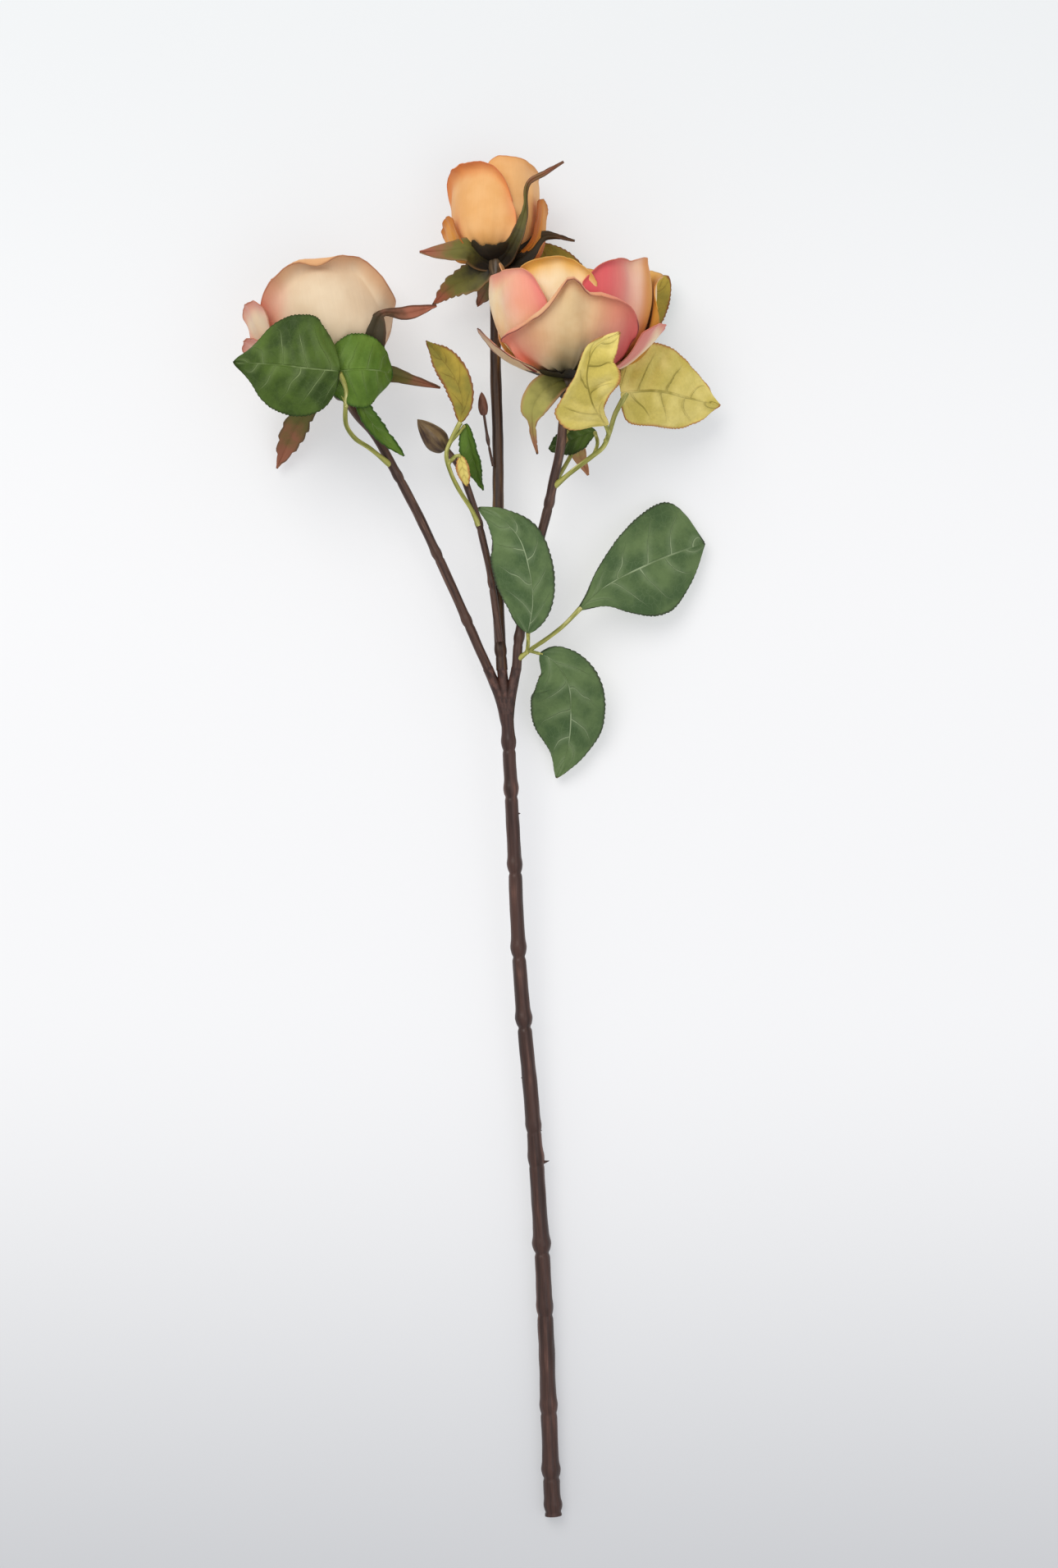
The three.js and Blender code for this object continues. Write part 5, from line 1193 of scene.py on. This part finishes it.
def make_stage(props):
    """A pale floor, soft studio lights and the camera looking straight down."""
    deselect()
    bpy.ops.mesh.primitive_plane_add(size=8, location=(0, 0, 0))
    floor = bpy.context.object
    floor.name = "floor"
    # Matt paper, darker towards the foot of the stem and a little towards the top: painted shade of the
    # light's fall-off, on a backdrop with no gloss. Its lit colour is dimmed, and it glows by emission, a
    # painted light that lifts the shadows on it.
    material, add = new_material("matt_paper_backdrop_painted_falloff_glow", {"Roughness": 0.9, "Specular IOR Level": 0.1,
                                                         "Emission Strength": 0.46})
    up = add("SeparateXYZ", (add("TexCoord", out="Object"),), 1)
    paper_painted_falloff = add("Mix", (add("MapRange", (up, -0.42, -0.06), **SOFT), "c6c8cc", props.floor), 2, **COLOUR)
    paper_painted_falloff = add("Mix", (add("MapRange", (up, 0.08, 0.42), **SOFT), paper_painted_falloff, "eaedef"), 2, **COLOUR)
    dimmed = add("Mix", (0.42, paper_painted_falloff, "000000"), 2, **COLOUR)
    shader = material.node_tree.nodes["Principled BSDF"]
    material.node_tree.links.new(dimmed, shader.inputs["Base Color"])
    # The glow: the paper's colour as emission, painted light that lifts the floor's shadows.
    material.node_tree.links.new(paper_painted_falloff, shader.inputs["Emission Color"])
    floor.data.materials.append(material)
    world = bpy.data.worlds[0] if bpy.data.worlds else bpy.data.worlds.new("studio")
    bpy.context.scene.world = world
    world.use_nodes = True
    sky = world.node_tree.nodes["Background"]
    sky.inputs["Color"].default_value = linear("f8f8fa")
    sky.inputs["Strength"].default_value = 0.66
    for name, place, power, colour in LAMPS:
        deselect()
        bpy.ops.object.light_add(type="AREA", location=place)
        lamp = bpy.context.object
        lamp.name = name
        lamp.data.shape = "DISK"
        lamp.data.size = LAMP_SIZE
        lamp.data.energy = power
        lamp.data.color = linear(colour)[:3]
        aim = Vector((0.0, 0.12, 0.0)) - Vector(place)
        lamp.rotation_euler = aim.to_track_quat("-Z", "Y").to_euler()
    deselect()
    bpy.ops.object.camera_add(location=(*VIEW_CENTRE, VIEW_HEIGHT), rotation=(0, 0, 0))
    camera = bpy.context.object
    camera.name = "overhead_camera"
    camera.data.sensor_width = SENSOR
    camera.data.lens = SENSOR * VIEW_HEIGHT / VIEW_SPAN
    camera.data.clip_end = 20
    bpy.context.scene.camera = camera
    bpy.context.scene.view_settings.view_transform = "Standard"


# ---------------------------------------------------------------- add-on
def size(name, description, default):
    """A length that a user would change, in metres."""
    return FloatProperty(name=name, description=description, default=default, min=0.0001, unit="LENGTH")


def colour(name, description, hex_colour):
    """A colour that a user would change."""
    return FloatVectorProperty(name=name, description=description, default=linear(hex_colour)[:3], min=0.0,
                               max=1.0, subtype="COLOR")


class RoseSprayProperties(bpy.types.PropertyGroup):
    """Sizes and colours that a user would change."""

    stem_foot_radius: size("Stem foot radius", "Radius of the stem at its cut end", 0.0037)
    stem_top_radius: size("Stem top radius", "Radius of the stem below the fork", 0.0028)
    petal_thickness: size("Petal thickness", "Thickness of the petal cloth", 0.00045)
    leaf_thickness: size("Leaf thickness", "Thickness of the leaf cloth", 0.0005)
    sepal_thickness: size("Sepal thickness", "Thickness of the moulded sepals", 0.0006)
    tooth_depth: size("Leaf tooth depth", "Depth of the teeth on a leaf's edge", 0.0006)
    bark: colour("Bark", "Middle tone of the main stem", "4c322a")
    shoot: colour("Shoots", "Middle tone of the shoots", "5a4034")
    stalk: colour("Leaf stalks", "Middle tone of the leaf stalks", "b4b25e")
    sepal: colour("Sepals", "Olive of the sepals' outer face", "66602a")
    leaf: colour("Low leaves", "Ground of the low leaves", "667c4e")
    fresh_leaf: colour("Fresh leaves", "Ground of the deep green leaves", "526a28")
    bright_leaf: colour("Bright leaves", "Ground of the bright green leaves", "62802e")
    leaf_underside: colour("Leaf undersides", "Ground of the yellow leaf undersides", "eedc86")
    ochre_leaf: colour("Ochre leaves", "Ground of the autumn leaves", "baa244")
    cream_petal: colour("Cream petals", "Ground of the left bloom's petals", "e0c6a4")
    orange_petal: colour("Orange petals", "Ground of the top bloom's petals", "e6aa66")
    tan_petal: colour("Tan petals", "Ground of the right bloom's front petal", "dcb682")
    light_petal: colour("Light petals", "Ground of the right bloom's other petals", "f8d8a0")
    rose_spray: colour("Rose spray", "Airbrushed pink of the right bloom", "dc5a60")
    floor: colour("Floor", "Paper that the spray lies on", "f5f6f8")


class ROSE_OT_stage(bpy.types.Operator):
    """Sets the floor, the lights and the camera"""
    bl_idname = "rose.stage"
    bl_label = "Stage"

    def execute(self, context):
        make_stage(context.scene.rose_spray)
        return {"FINISHED"}


class ROSE_OT_finishes(bpy.types.Operator):
    """Makes the moulded plastics, the leaf cloths and the petal cloths"""
    bl_idname = "rose.finishes"
    bl_label = "Finishes"

    def execute(self, context):
        make_plastics(context.scene.rose_spray)
        make_cloths(context.scene.rose_spray)
        return {"FINISHED"}


class ROSE_OT_main_stem(bpy.types.Operator):
    """Models the knuckled main stem with its fork and thorns"""
    bl_idname = "rose.main_stem"
    bl_label = "Main stem"

    def execute(self, context):
        make_main_stem(context.scene.rose_spray)
        return {"FINISHED"}


class ROSE_OT_shoots(bpy.types.Operator):
    """Models the shoots that carry the blooms and buds"""
    bl_idname = "rose.shoots"
    bl_label = "Shoots"

    def execute(self, context):
        make_shoots()
        return {"FINISHED"}


class ROSE_OT_stalks(bpy.types.Operator):
    """Models the leaf stalks"""
    bl_idname = "rose.stalks"
    bl_label = "Leaf stalks"

    def execute(self, context):
        make_stalks()
        return {"FINISHED"}


class ROSE_OT_leaves(bpy.types.Operator):
    """Models the toothed leaves"""
    bl_idname = "rose.leaves"
    bl_label = "Leaves"

    def execute(self, context):
        make_leaves(context.scene.rose_spray)
        return {"FINISHED"}


class ROSE_OT_petals(bpy.types.Operator):
    """Models the petals of each bloom"""
    bl_idname = "rose.petals"
    bl_label = "Petals"

    def execute(self, context):
        make_petals(context.scene.rose_spray)
        return {"FINISHED"}


class ROSE_OT_hearts(bpy.types.Operator):
    """Models the tightly rolled petals at the heart of each bloom"""
    bl_idname = "rose.hearts"
    bl_label = "Hearts"

    def execute(self, context):
        make_hearts(context.scene.rose_spray)
        return {"FINISHED"}


class ROSE_OT_calyxes(bpy.types.Operator):
    """Models each hip with its dark cup of painted shade and its sepals"""
    bl_idname = "rose.calyxes"
    bl_label = "Calyxes"

    def execute(self, context):
        make_calyxes(context.scene.rose_spray)
        return {"FINISHED"}


class ROSE_OT_buds(bpy.types.Operator):
    """Models the closed buds"""
    bl_idname = "rose.buds"
    bl_label = "Buds"

    def execute(self, context):
        make_buds()
        return {"FINISHED"}


OPERATORS = (ROSE_OT_stage, ROSE_OT_finishes, ROSE_OT_main_stem, ROSE_OT_shoots, ROSE_OT_stalks,
             ROSE_OT_leaves, ROSE_OT_petals, ROSE_OT_hearts, ROSE_OT_calyxes, ROSE_OT_buds)


class ROSE_PT_panel(bpy.types.Panel):
    """Lists the sizes, the colours and the steps of the spray"""
    bl_idname = "ROSE_PT_panel"
    bl_label = "Cut rose spray"
    bl_space_type = "VIEW_3D"
    bl_region_type = "UI"
    bl_category = "Rose"

    def draw(self, context):
        for key in RoseSprayProperties.__annotations__:
            self.layout.prop(context.scene.rose_spray, key)
        for operator in OPERATORS:
            self.layout.operator(operator.bl_idname)


CLASSES = (RoseSprayProperties,) + OPERATORS + (ROSE_PT_panel,)


def register():
    for item in CLASSES:
        bpy.utils.register_class(item)
    bpy.types.Scene.rose_spray = PointerProperty(type=RoseSprayProperties)


def unregister():
    del bpy.types.Scene.rose_spray
    for item in reversed(CLASSES):
        bpy.utils.unregister_class(item)


def main():
    register()
    bpy.ops.rose.stage()
    bpy.ops.rose.finishes()
    bpy.ops.rose.main_stem()
    bpy.ops.rose.shoots()
    bpy.ops.rose.stalks()
    bpy.ops.rose.leaves()
    bpy.ops.rose.petals()
    bpy.ops.rose.hearts()
    bpy.ops.rose.calyxes()
    bpy.ops.rose.buds()


if __name__ == "__main__":
    main()
